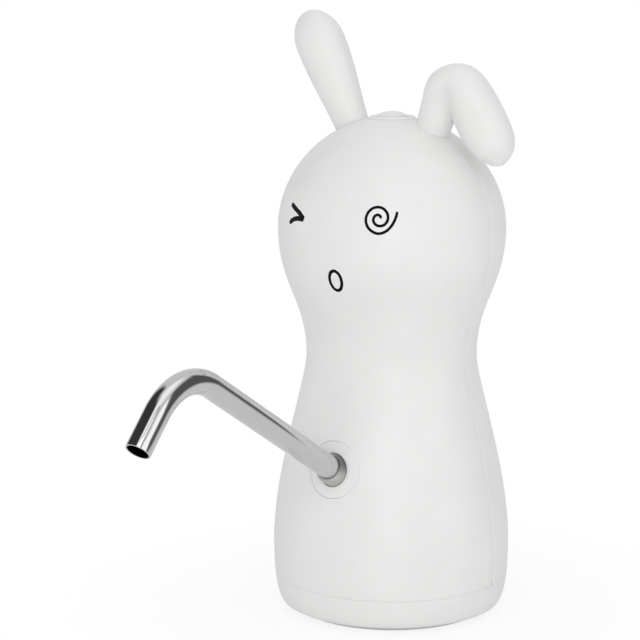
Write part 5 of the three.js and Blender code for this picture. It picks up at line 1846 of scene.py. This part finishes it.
@dataclass
class Button:
    """The push button on the crown, the bezel round it and the spring below."""

    radius: float = 4.7
    rise: float = 1.4
    dome: float = 1.2
    dome_power: float = 2.6
    dome_steps: int = 24
    gap: float = 0.3
    bezel_radius: float = 7.6
    bezel_crest: float = 0.65
    crest_share: float = 0.45
    bezel_rounding: Row = (0.1, 0.18, 0.55, 0.4, 0.1)
    bezel_steps: int = 5
    lip_width: float = 0.25
    lip_height: float = 0.12
    lip_rows: int = 5
    seat: float = -0.05
    sleeve_outer: float = 6.0
    sleeve_low: float = 152.7
    skirt_low: float = 151.2
    skirt_height: float = 1.2
    skirt_radius: float = 5.55
    hollow_radius: float = 3.9
    hollow_top: float = 155.9
    stem_radius: float = 1.3
    stem_low: float = 148.95
    cap_rounding: Row = (0.0, 0.1, 0.2, 0.2, 0.1, 0.1, 0.1, 0.1, 0.3)
    shoulder_drop: float = 0.1
    sides: int = 96
    travel: float = 1.0
    spring_low: float = 144.13
    spring_high: float = 150.83
    spring_radius: float = 4.25
    spring_wire: float = 0.29
    spring_turns: float = 4.0
    spring_steps: int = 256
    spring_sides: int = 16

    def bezel(self) -> None:
        """Builds the bezel, whose lip lies on the crown and whose sleeve guides the button."""
        inner = self.radius + self.gap
        crest_radius = inner + (self.bezel_radius - inner) * self.crest_share
        crest = OUTLINE.top(crest_radius) + self.bezel_crest
        lip = OUTLINE.top(self.bezel_radius) + self.seat
        inward = np.linspace(self.bezel_radius - self.lip_width, self.sleeve_outer, self.lip_rows)
        corners = [
            (inner, self.sleeve_low), (inner, crest - self.bezel_crest / 2), (crest_radius, crest),
            ((self.bezel_radius + crest_radius) / 2, crest - self.bezel_crest / 4),
            (self.bezel_radius, lip + self.lip_height),
            *((r, OUTLINE.top(r) + self.seat) for r in inward), (self.sleeve_outer, self.sleeve_low),
        ]
        radii = [*self.bezel_rounding, *[0.0] * self.lip_rows, self.bezel_rounding[-1]]
        draft = ringed(corners, radii, self.sides, self.bezel_steps)
        dress(draft.finish("bezel", sharp=BLUNT_ANGLE), Look.SHELL, "button_bezel")

    def cap(self) -> None:
        """Builds the domed cap with a soft edge, its skirt and the stem that meets the switch."""
        shoulder = OUTLINE.crown_height + self.rise - self.dome
        outs = [1 - step / self.dome_steps for step in range(1, self.dome_steps + 1)]
        domed = [(self.radius * out, shoulder + self.dome * (1 - out**self.dome_power)) for out in outs]
        skirt_top = self.skirt_low + self.skirt_height
        corners = [
            (0.0, self.stem_low), (self.stem_radius, self.stem_low), (self.stem_radius, self.hollow_top),
            (self.hollow_radius, self.hollow_top), (self.hollow_radius, self.skirt_low),
            (self.skirt_radius, self.skirt_low), (self.skirt_radius, skirt_top), (self.radius, skirt_top),
            (self.radius, shoulder - self.shoulder_drop), *domed,
        ]
        radii = [*self.cap_rounding, *[0.0] * len(domed)]
        profile = rounded(corners, radii, self.bezel_steps)
        piece = spun(profile, self.sides).finish("push_button", sharp=BLUNT_ANGLE)
        dress(piece, Look.SHELL, "button_cap", body=Body.BUTTON)

    def spring(self) -> None:
        """Builds the return spring."""
        wire, radius = self.spring_wire, self.spring_radius
        low, high = self.spring_low + wire, self.spring_high - wire
        climb = (high - low) / (2 * math.pi * self.spring_turns)
        circle = even_turn(self.spring_sides)
        rows = []
        for step in range(self.spring_steps + 1):
            angle = 2 * math.pi * self.spring_turns * step / self.spring_steps
            out = Vector((math.cos(angle), math.sin(angle), 0))
            up = Vector((-out.y * radius, out.x * radius, climb)).normalized().cross(out)
            middle = out * radius + UP * (low + climb * angle)
            rows.append([tuple(middle + (out * math.cos(a) + up * math.sin(a)) * wire) for a in circle])
        piece = loft(rows, (None, None)).finish("return_spring", Look.PLATED, SOFT_ANGLE)
        dress(piece, Look.PLATED, "button_spring")
        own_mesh(piece)

    def build(self) -> None:
        """Builds the bezel, cap and spring."""
        self.bezel()
        self.cap()
        self.spring()


@dataclass
class Spout:
    """The steel spout, the silicone sleeve that it turns in, and the escutcheon round them."""

    radius: float = 3.75
    wall: float = 0.5
    rise: float = 31.0
    drop: float = 47.0
    straight: float = 71.4
    bend_radius: float = 20.0
    outlet_length: float = 12.15
    insertion: float = 7.2
    lip: float = 0.1
    lip_profile: float = 0.6
    lip_steps: int = 3
    lip_angle: float = 1.0
    join_reach: float = 1.2
    rim_reach: float = 1.05
    mark_reach: float = 1.3
    mark_gap: float = 0.01
    join_gap: float = 1e-6
    sharp: float = 40.0
    sides: int = 120
    straight_steps: int = 39
    bend_steps: int = 44
    outlet_steps: int = 4
    sleeve_inner: float = 3.8
    sleeve_outer: float = 4.75
    sleeve_reach: float = 2.2
    sleeve_depth: float = 7.4
    sleeve_rounding: Row = (0.1, 0.1, 0.7, 0.1)
    sleeve_steps: int = 6
    sleeve_sides: int = 96
    hole_radius: float = 4.97
    disc_radius: float = 8.9
    disc_edge: float = 0.12
    disc_ease: Flat = (0.35, 0.3)
    disc_rows: Point = (0.25, 0.5, 0.75)
    disc_inner_share: float = 0.999
    disc_depth: float = 3.6
    disc_sides: int = 96
    barrel_wall: float = 1.4
    barrel_depth: float = 2.5
    barrel_floor: float = 0.5
    barrel_overlap: float = 0.2
    barrel_sides: int = 64

    @staticmethod
    def slant(degrees: float) -> Vector:
        """Gives the direction along -Y that rises by an angle."""
        return Vector((0, -math.cos(math.radians(degrees)), math.sin(math.radians(degrees))))

    def path(self) -> list[Vector]:
        """Lays the middle line from inside the sleeve over the bend to the outlet.

        Returns:
            Its points.
        """
        root, aim = Casing().spout_root(), self.slant(self.rise)
        centre = root + aim * self.straight + self.slant(self.rise - 90) * self.bend_radius
        reaches = np.linspace(-self.insertion, self.straight, self.straight_steps + 1)
        points = [root + aim * reach for reach in reaches[:-1]]
        for step in range(self.bend_steps + 1):
            angle = self.rise - (self.rise + self.drop) * step / self.bend_steps
            points.append(centre + self.slant(angle + 90) * self.bend_radius)
        end, stretch = points[-1], self.slant(-self.drop) * self.outlet_length
        shares = [step / self.outlet_steps for step in range(1, self.outlet_steps + 1)]
        return points + [end + stretch * share for share in shares]

    def _near(self, bm: bmesh.types.BMesh, spot: Vector, reach: float) -> list[bmesh.types.BMEdge]:
        """Gives the edges that lie within so many of the tube's radii of a spot."""
        limit = self.radius * reach * MM
        return [e for e in bm.edges if all((v.co - spot).length < limit for v in e.verts)]

    def tube(self) -> None:
        """Builds the tube: two swept walls joined at their ends, with the rims eased."""
        tool, path, bore = swept_tube_tool(), self.path(), self.radius - self.wall
        bm = bmesh.new()
        for radius, inside in ((self.radius, 0.0), (bore, 1.0)):
            mesh = tool.run("spout_wall", line_mesh("spout_path", path), Look.STEEL, Radius=radius * MM,
                            Sides=self.sides, Inside=inside)
            if inside:
                mesh.flip_normals()
            bm.from_mesh(mesh)
            bpy.data.meshes.remove(mesh)
        bmesh.ops.remove_doubles(bm, verts=bm.verts, dist=self.join_gap)
        root, before, outlet = (path[at] * MM for at in (0, -2, -1))
        for end in (root, outlet):
            borders = [e for e in self._near(bm, end, self.join_reach) if e.is_boundary]
            bmesh.ops.bridge_loops(bm, edges=borders)
        face_out(bm)
        rims = [e for e in self._near(bm, outlet, self.rim_reach) if e.calc_face_angle(0) > self.lip_angle]
        bmesh.ops.bevel(bm, geom=rims, offset=self.lip * MM, segments=self.lip_steps,
                        profile=self.lip_profile, affect="EDGES")
        mesh = bpy.data.meshes.new("spout")
        bm.to_mesh(mesh)
        bm.free()
        out = (outlet - before).normalized()
        # Marks the points of the bore at the outlet, which the steel's painted shade darkens.
        for point, mark in zip(mesh.vertices, mesh.attributes["Inside"].data):
            away = point.co - outlet
            if away.length < self.radius * self.mark_reach * MM:
                mark.value = float((away - out * away.dot(out)).length < (bore + self.mark_gap) * MM)
        smooth_by_angle(mesh, self.sharp)
        piece = object_of("spout", mesh, Look.STEEL.finish.material())
        dress(piece, Look.STEEL, "spout_tube", body=Body.SPOUT)

    def sleeve(self) -> None:
        """Builds the sleeve with its soft lip."""
        corners = section(self.sleeve_inner, self.sleeve_outer, -self.sleeve_depth, self.sleeve_reach)
        draft = ringed(corners, self.sleeve_rounding, self.sleeve_sides, self.sleeve_steps)
        draft.moved(frame_to(self.slant(self.rise), Casing().spout_root()))
        piece = draft.finish("spout_grommet", Look.SLEEVE, SOFT_ANGLE)
        dress(piece, Look.SLEEVE, "spout_sleeve", body=Body.SLEEVE)

    def _disc_row(self, share: float, inset: float, depth: float) -> list[Point]:
        """Gives one ring of the escutcheon.

        Args:
            share: Where it lies, from 0 at the slanted hole to 1 at the rim.
            inset: How far it is below the casing's outline.
            depth: How far it is sunk, along the hole's axis at the hole and along the disc's at the rim.

        Returns:
            The ring's points.
        """
        root, aim, axis = Casing().spout_root(), Casing().spout_aim(), self.slant(self.rise)
        rim_radius = self.disc_radius * (1 if share == 1 else self.disc_inner_share)
        way = aim if share else axis
        points = []
        for angle in even_turn(self.disc_sides):
            side = ACROSS * math.cos(angle)
            hole = side + axis.cross(ACROSS).normalized() * math.sin(angle)
            rim = side + aim.cross(ACROSS).normalized() * math.sin(angle)
            ring = OUTLINE.drop(root + hole * self.hole_radius, axis)
            spot = ring.lerp(OUTLINE.drop(root + rim * rim_radius, aim), share)
            points.append(tuple(OUTLINE.drop(spot, way, inset) - way * depth))
        return points

    def escutcheon(self) -> None:
        """Builds the escutcheon, a disc flush in the casing, and the barrel below its slanted hole."""
        edge, depth = self.disc_edge, self.disc_depth
        eased = edge / (self.disc_radius - self.hole_radius)
        near, sunk = eased * self.disc_ease[0], edge * self.disc_ease[1]
        flat = [(share, 0.0) for share in (eased, *self.disc_rows, 1 - eased)]
        flush = [(near, sunk), *flat, (1 - near, sunk)]
        rings = [(0.0, 0.0, depth), (0.0, 0.0, edge), *((share, inset, 0.0) for share, inset in flush),
                 (1.0, 0.0, edge), (1.0, 0.0, depth)]
        disc = loft([self._disc_row(*ring) for ring in rings])
        dress(disc.finish("escutcheon", sharp=self.sharp), Look.SHELL, "spout_socket")
        bore, low = self.hole_radius, -depth - self.barrel_depth
        outer, top, floor = bore + self.barrel_wall, -depth + self.barrel_overlap, low + self.barrel_floor
        profile = [(0, low), (outer, low), (outer, top), (bore, top), (bore, floor), (0, floor)]
        barrel = spun(profile, self.barrel_sides)
        barrel.moved(frame_to(self.slant(self.rise), Casing().spout_root()))
        dress(barrel.finish("spout_barrel", Look.INNER), Look.INNER, "spout_socket")

    def build(self) -> None:
        """Builds the escutcheon, sleeve and tube."""
        self.escutcheon()
        self.sleeve()
        self.tube()


@dataclass
class FaceMarks:
    """The marks printed on the head: a wink, a spiral and a round mouth, as (turn in degrees, height)."""

    thickness: float = 0.035
    sunk: float = 0.01
    back_depth: float = 0.08
    across_shares: Row = (-1.0, -0.9, -0.5, 0.0, 0.5, 0.9, 1.0)
    back_shares: Point = (0.9, 0.0, -0.9)
    crown_power: int = 4
    end_width: float = 0.01
    wink_width: float = 1.6
    wink_upper: tuple[Flat, ...] = (
        (-30.4, 132.2), (-25.0, 130.9), (-20.8, 129.8), (-18.3, 128.9), (-16.7, 128.15))
    wink_lower: tuple[Flat, ...] = (
        (-16.8, 128.1), (-20.4, 128.25), (-23.8, 128.0), (-26.9, 127.3), (-29.5, 126.3))
    wink_steps: int = 60
    spiral_width: float = 0.9
    spiral_middle: Flat = (25.83, 129.89)
    spiral_start: float = 0.45
    spiral_growth: float = 0.367
    spiral_turns: float = 2.0595
    spiral_tail_angle: float = 1.95
    spiral_tail: Point = (-0.534, -0.445, 0.477)
    spiral_steps: int = 200
    mouth_width: float = 1.1
    mouth_middle: Flat = (2.45, 110.2)
    mouth_half: Flat = (2.07, 3.1)
    mouth_lean: float = 5.0
    mouth_steps: int = 96

    def _stroke(self, line: Sequence[Flat], width: float) -> Draft:
        """Lays a thin stroke along a line on the casing, with round ends unless the line is closed.

        Args:
            line: Its middle line as (turn in degrees, height).
            width: Its width.

        Returns:
            The closed draft.
        """
        closed = math.dist(line[0], line[-1]) < MM
        line = line[:-1] if closed else line
        spots, last, half = [OUTLINE.on(*spot) for spot in line], len(line) - 1, width / 2
        along = lengths_along(np.array(spots))
        rows: list[list[Point]] = []
        for at, spot in enumerate(spots):
            ahead = spots[(at + 1) % len(spots) if closed else min(at + 1, last)]
            behind = spots[at - 1 if closed else max(at - 1, 0)]
            way = OUTLINE.outward(*line[at]).cross(ahead - behind).normalized()
            reach = half
            if not closed:
                short = max(half - min(along[at], along[-1] - along[at]), 0)
                reach = min(half, math.sqrt(max(half**2 - short**2, self.end_width**2)))
            steps = [(share, self.thickness * (1 - share**self.crown_power) - self.sunk)
                     for share in self.across_shares]
            steps += [(share, -self.back_depth) for share in self.back_shares]
            rows.append([tuple(self._on_casing(spot + way * (reach * share), lift)) for share, lift in steps])
        return loft(rows, () if closed else (None, None))

    @staticmethod
    def _on_casing(spot: Vector, proud: float) -> Vector:
        """Puts a spot on the casing, straight out from the axis, and lifts it."""
        return OUTLINE.on(math.degrees(math.atan2(spot.x, -spot.y)), spot.z, proud)

    def _finer(self, line: Sequence[Flat]) -> list[Flat]:
        """Lays a smooth curve of many points through a few.

        Args:
            line: The few points.

        Returns:
            The curve's points.
        """
        table = np.array(line)
        last = len(table) - 1
        points = []
        for share in np.linspace(0, last, self.wink_steps):
            at = min(int(share), last - 1)
            part = share - at
            before, here, after, beyond = (table[min(max(at + step, 0), last)] for step in (-1, 0, 1, 2))
            bend = 2 * before - 5 * here + 4 * after - beyond
            twist = 3 * here - before - 3 * after + beyond
            spot = here + ((after - before) * part + bend * part**2 + twist * part**3) / 2
            points.append(tuple(spot.tolist()))
        return points

    @staticmethod
    def _placed(middle: Flat, shape: Iterable[Flat]) -> list[Flat]:
        """Lays a flat shape on the casing about a middle."""
        (turn, height), radius = middle, OUTLINE.radius(middle[1])
        return [(turn + math.degrees(x / radius), height + z) for x, z in shape]

    def spiral(self) -> list[Flat]:
        """Winds the spiral, whose last stretch leaves the even one.

        Returns:
            Its line.
        """
        end = 2 * math.pi * self.spiral_turns
        shape = []
        for step in range(self.spiral_steps + 1):
            angle = end * step / self.spiral_steps
            late = max(angle - end + self.spiral_tail_angle, 0.0)
            reach = self.spiral_start + self.spiral_growth * angle
            reach += sum(share * late ** (power + 1) for power, share in enumerate(self.spiral_tail))
            shape.append((reach * math.cos(angle), reach * math.sin(angle)))
        return self._placed(self.spiral_middle, shape)

    def mouth(self) -> list[Flat]:
        """Draws the mouth, an upright oval that leans a little.

        Returns:
            Its closed line.
        """
        (wide, tall), lean = self.mouth_half, Matrix.Rotation(math.radians(self.mouth_lean), 2)
        angles = [*even_turn(self.mouth_steps), 2 * math.pi]
        oval = [lean @ Vector((wide * math.cos(a), tall * math.sin(a))) for a in angles]
        return self._placed(self.mouth_middle, oval)

    def build(self) -> None:
        """Builds every mark."""
        strokes = {
            "mark_wink_upper": (self._finer(self.wink_upper), self.wink_width),
            "mark_wink_lower": (self._finer(self.wink_lower), self.wink_width),
            "mark_spiral": (self.spiral(), self.spiral_width),
            "mark_mouth": (self.mouth(), self.mouth_width),
        }
        for name, stroke in strokes.items():
            dress(self._stroke(*stroke).finish(name, Look.INK, BLUNT_ANGLE), Look.INK)


# The model's own pieces, which only get their finishes


@dataclass
class InnerWorks:
    """The pieces inside the casing and what shows at the back of the head, with the model's other pieces."""

    nodes: dict[str, Object]

    def _look(self, name: str) -> Look:
        """Gives a node's look.

        Args:
            name: The node's name.

        Returns:
            The look.
        """
        groups = {
            Look.SHELL: ("front_shell", "rear_shell", "upright_ear", "folded_ear", "button_bezel",
                         "button_cap", "spout_socket", "foot_ring"),
            Look.PAD: ("foot_pad",),
            Look.SEAL: ("neck_seal", "inlet_seal", "outlet_hose"),
            Look.SLEEVE: ("spout_sleeve",),
            Look.STEEL: ("spout_tube",),
            Look.PLATED: ("button_spring", "idler_pin", "motor_can", "charge_socket", "hose_clip_pump",
                          "hose_clip_spout"),
            Look.NYLON: ("drive_gear", "idler_gear"),
            Look.FERRITE: ("motor_magnet_1", "motor_magnet_2"),
            Look.COPPER: ("motor_rotor",),
            Look.BOARD: ("circuit_board", "switch_board"),
            Look.WRAP: ("battery_cell",),
            Look.BLACK: ("switch_body", "switch_plunger", "motor_cap"),
            Look.DAMPER: ("damping_sleeve",),
            Look.RED_WIRE: ("motor_wire_red", "cell_wire_red"),
            Look.BLACK_WIRE: ("motor_wire_black", "cell_wire_black", "switch_wire"),
            Look.LAMP: ("lamp_window",),
        }
        found = [look for look, names in groups.items() if name in names]
        return found[0] if found else Look.PLATED if "screw" in name else Look.INNER

    def build(self) -> None:
        """Gives every node of the model its finish."""
        for name, node in self.nodes.items():
            material = self._look(name).finish.material()
            if not node.material_slots:
                node.data.materials.append(material)
            for slot in node.material_slots:
                slot.material = material
            log.info("%s has its finish, %s", name, material.name)


# Floor, light and camera


@dataclass(frozen=True)
class Card:
    """A bright window or a dark flag of the studio, by turn from -Y towards +X and rise, in degrees."""

    turn: Flat
    rise: Flat
    level: float
    soft: float


@dataclass(frozen=True)
class Lamp:
    """A square soft light that looks at the object. Its place and size are in metres."""

    name: str
    place: Point
    size: float
    power: float

    def build(self, target: Vector) -> None:
        """Builds the light.

        Args:
            target: What it looks at, in metres.
        """
        data = bpy.data.lights.new(self.name, "AREA")
        data.shape, data.size, data.energy, data.specular_factor = "SQUARE", self.size, self.power, 0.0
        lamp = bpy.data.objects.new(self.name, data)
        turn = (target - Vector(self.place)).to_track_quat("-Z", "Y").to_matrix().to_4x4()
        lamp.matrix_world = Matrix.Translation(self.place) @ turn
        bpy.context.scene.collection.objects.link(lamp)


@dataclass
class Studio:
    """A white sweep, soft light from all round with windows and flags, and the camera."""

    cards: tuple[Card, ...] = (
        Card((18.0, 165.0), (55.0, 100.0), 1.3, 8.0),
        Card((-112.0, 14.0), (12.0, 76.0), 0.05, 9.0),
        Card((0.0, 68.0), (30.0, 54.0), 0.16, 5.0),
        Card((72.0, 106.0), (-12.0, 36.0), 1.45, 4.0),
        Card((108.0, 161.0), (-9.0, 42.0), 0.12, 7.0),
    )
    lamps: tuple[Lamp, ...] = (
        Lamp("key_light", (0.58, -0.84, 0.82), 0.7, 2.25),
        Lamp("fill_light", (0.42, -0.66, 0.05), 0.3, 0.95),
    )
    mirror_level: float = 0.8
    light_level: float = 0.57
    light_lift: float = 0.33
    floor_half: float = 4.0
    floor_white: float = 0.96
    shadow_share: float = 0.16
    shadow_reach: Flat = (0.045, 0.12)
    focal_pixels: float = 2063.0
    image_pixels: float = 640.0
    azimuth: float = 32.203
    elevation: float = 9.988
    distance: float = 660.0
    clip_start: float = 0.01
    target: Point = (0.0, 0.0, 90.0)
    target_pixel: Flat = (391.587, 329.15)
    roll: float = 0.181
    sensor: float = 36.0

    def camera(self) -> None:
        """Makes the camera at the photograph's viewing angle."""
        elevation, azimuth, roll = (math.radians(a) for a in (self.elevation, self.azimuth, self.roll))
        right = Vector((math.cos(azimuth), math.sin(azimuth), 0))
        back = Vector((right.y, -right.x, 0)) * math.cos(elevation) + UP * math.sin(elevation)
        middle = self.image_pixels / 2
        yaw = math.atan((self.target_pixel[0] - middle) / self.focal_pixels)
        pitch = math.atan((self.target_pixel[1] - middle) / self.focal_pixels)
        turn = Matrix((right, back.cross(right), back)).transposed().to_4x4()
        for angle, axis in ((yaw, "Y"), (pitch, "X"), (roll, "Z")):
            turn @= Matrix.Rotation(angle, 4, axis)
        data = bpy.data.cameras.new("camera")
        data.sensor_width = self.sensor
        data.lens = self.sensor * self.focal_pixels / self.image_pixels
        data.clip_start = self.clip_start
        camera = bpy.data.objects.new("camera", data)
        place = (Vector(self.target) + back * self.distance) * MM
        camera.matrix_world = Matrix.Translation(place) @ turn
        bpy.context.scene.collection.objects.link(camera)
        bpy.context.scene.camera = camera

    def floor(self) -> None:
        """Makes the floor, which fades into the white background away from the object."""
        reach, white = self.floor_half, self.floor_white
        mesh = bpy.data.meshes.new("floor")
        corners = [(-reach, -reach, 0), (reach, -reach, 0), (reach, reach, 0), (-reach, reach, 0)]
        mesh.from_pydata(corners, [], [(0, 1, 2, 3)])
        graph = Graph(bpy.data.materials.new("floor_white"))
        away = graph.node("ShaderNodeVectorMath", {"operation": "LENGTH"}, {0: graph.place}, "Value")
        shadow = (1.0 - away.rise(*self.shadow_reach)) * self.shadow_share
        diffuse = graph.node("ShaderNodeBsdfDiffuse", {}, {"Color": (white, white, white, 1.0)})
        shown = graph.node("ShaderNodeEmission", {}, {"Color": (1.0, 1.0, 1.0, 1.0), "Strength": 1.0})
        seen = graph.ray("Camera") * (1.0 - shadow)
        share = seen.most(graph.ray("Glossy")).most(graph.ray("Transmission"))
        graph.show(graph.node("ShaderNodeMixShader", {}, {0: share, 1: diffuse, 2: shown}))
        floor = object_of("floor", mesh, graph.owner)
        floor.visible_glossy = False

    def world(self) -> None:
        """Makes the soft light all round: white to the camera, and softly shaded in what shines."""
        world = bpy.data.worlds.new("studio")
        bpy.context.scene.world = world
        graph = Graph(world)
        way = graph.node("ShaderNodeTexCoord", output="Generated")
        x, y, z = (graph.part(way, axis) for axis in "XYZ")
        turn = x.maths("ARCTAN2", x, y * -1.0) * math.degrees(1)
        rise = z.maths("ARCSINE", z) * math.degrees(1)
        level: Term | float = self.mirror_level
        for card in self.cards:
            mask = turn.band(*card.turn, card.soft) * rise.band(*card.rise, card.soft)
            level = (1.0 - mask) * level + mask * card.level
        diffuse, mirrored, shown = (
            graph.node("ShaderNodeBackground", {}, {"Color": (1.0, 1.0, 1.0, 1.0), "Strength": strength})
            for strength in (z.most(0.0) * self.light_lift + self.light_level, level, 1.0))
        lit = graph.node("ShaderNodeMixShader", {}, {0: graph.ray("Glossy"), 1: diffuse, 2: mirrored})
        seen = graph.ray("Camera").most(graph.ray("Transmission"))
        graph.show(graph.node("ShaderNodeMixShader", {}, {0: seen, 1: lit, 2: shown}))

    def build(self) -> None:
        """Builds the camera, floor, world and lamps, and sets plain colours."""
        self.camera()
        self.floor()
        self.world()
        for lamp in self.lamps:
            lamp.build(Vector(self.target) * MM)
        bpy.context.scene.view_settings.view_transform = "Standard"


def main() -> None:
    """Loads the model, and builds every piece."""
    logging.basicConfig(level=logging.INFO, format="%(name)s: %(message)s")
    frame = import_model()
    groups = [Studio(), InnerWorks(frame["nodes"]), Casing(), Foot(), NeckSocket(), Ears(), Button(), Spout()]
    for group in [*groups, FaceMarks()]:
        group.build()


if __name__ == "__main__":
    main()
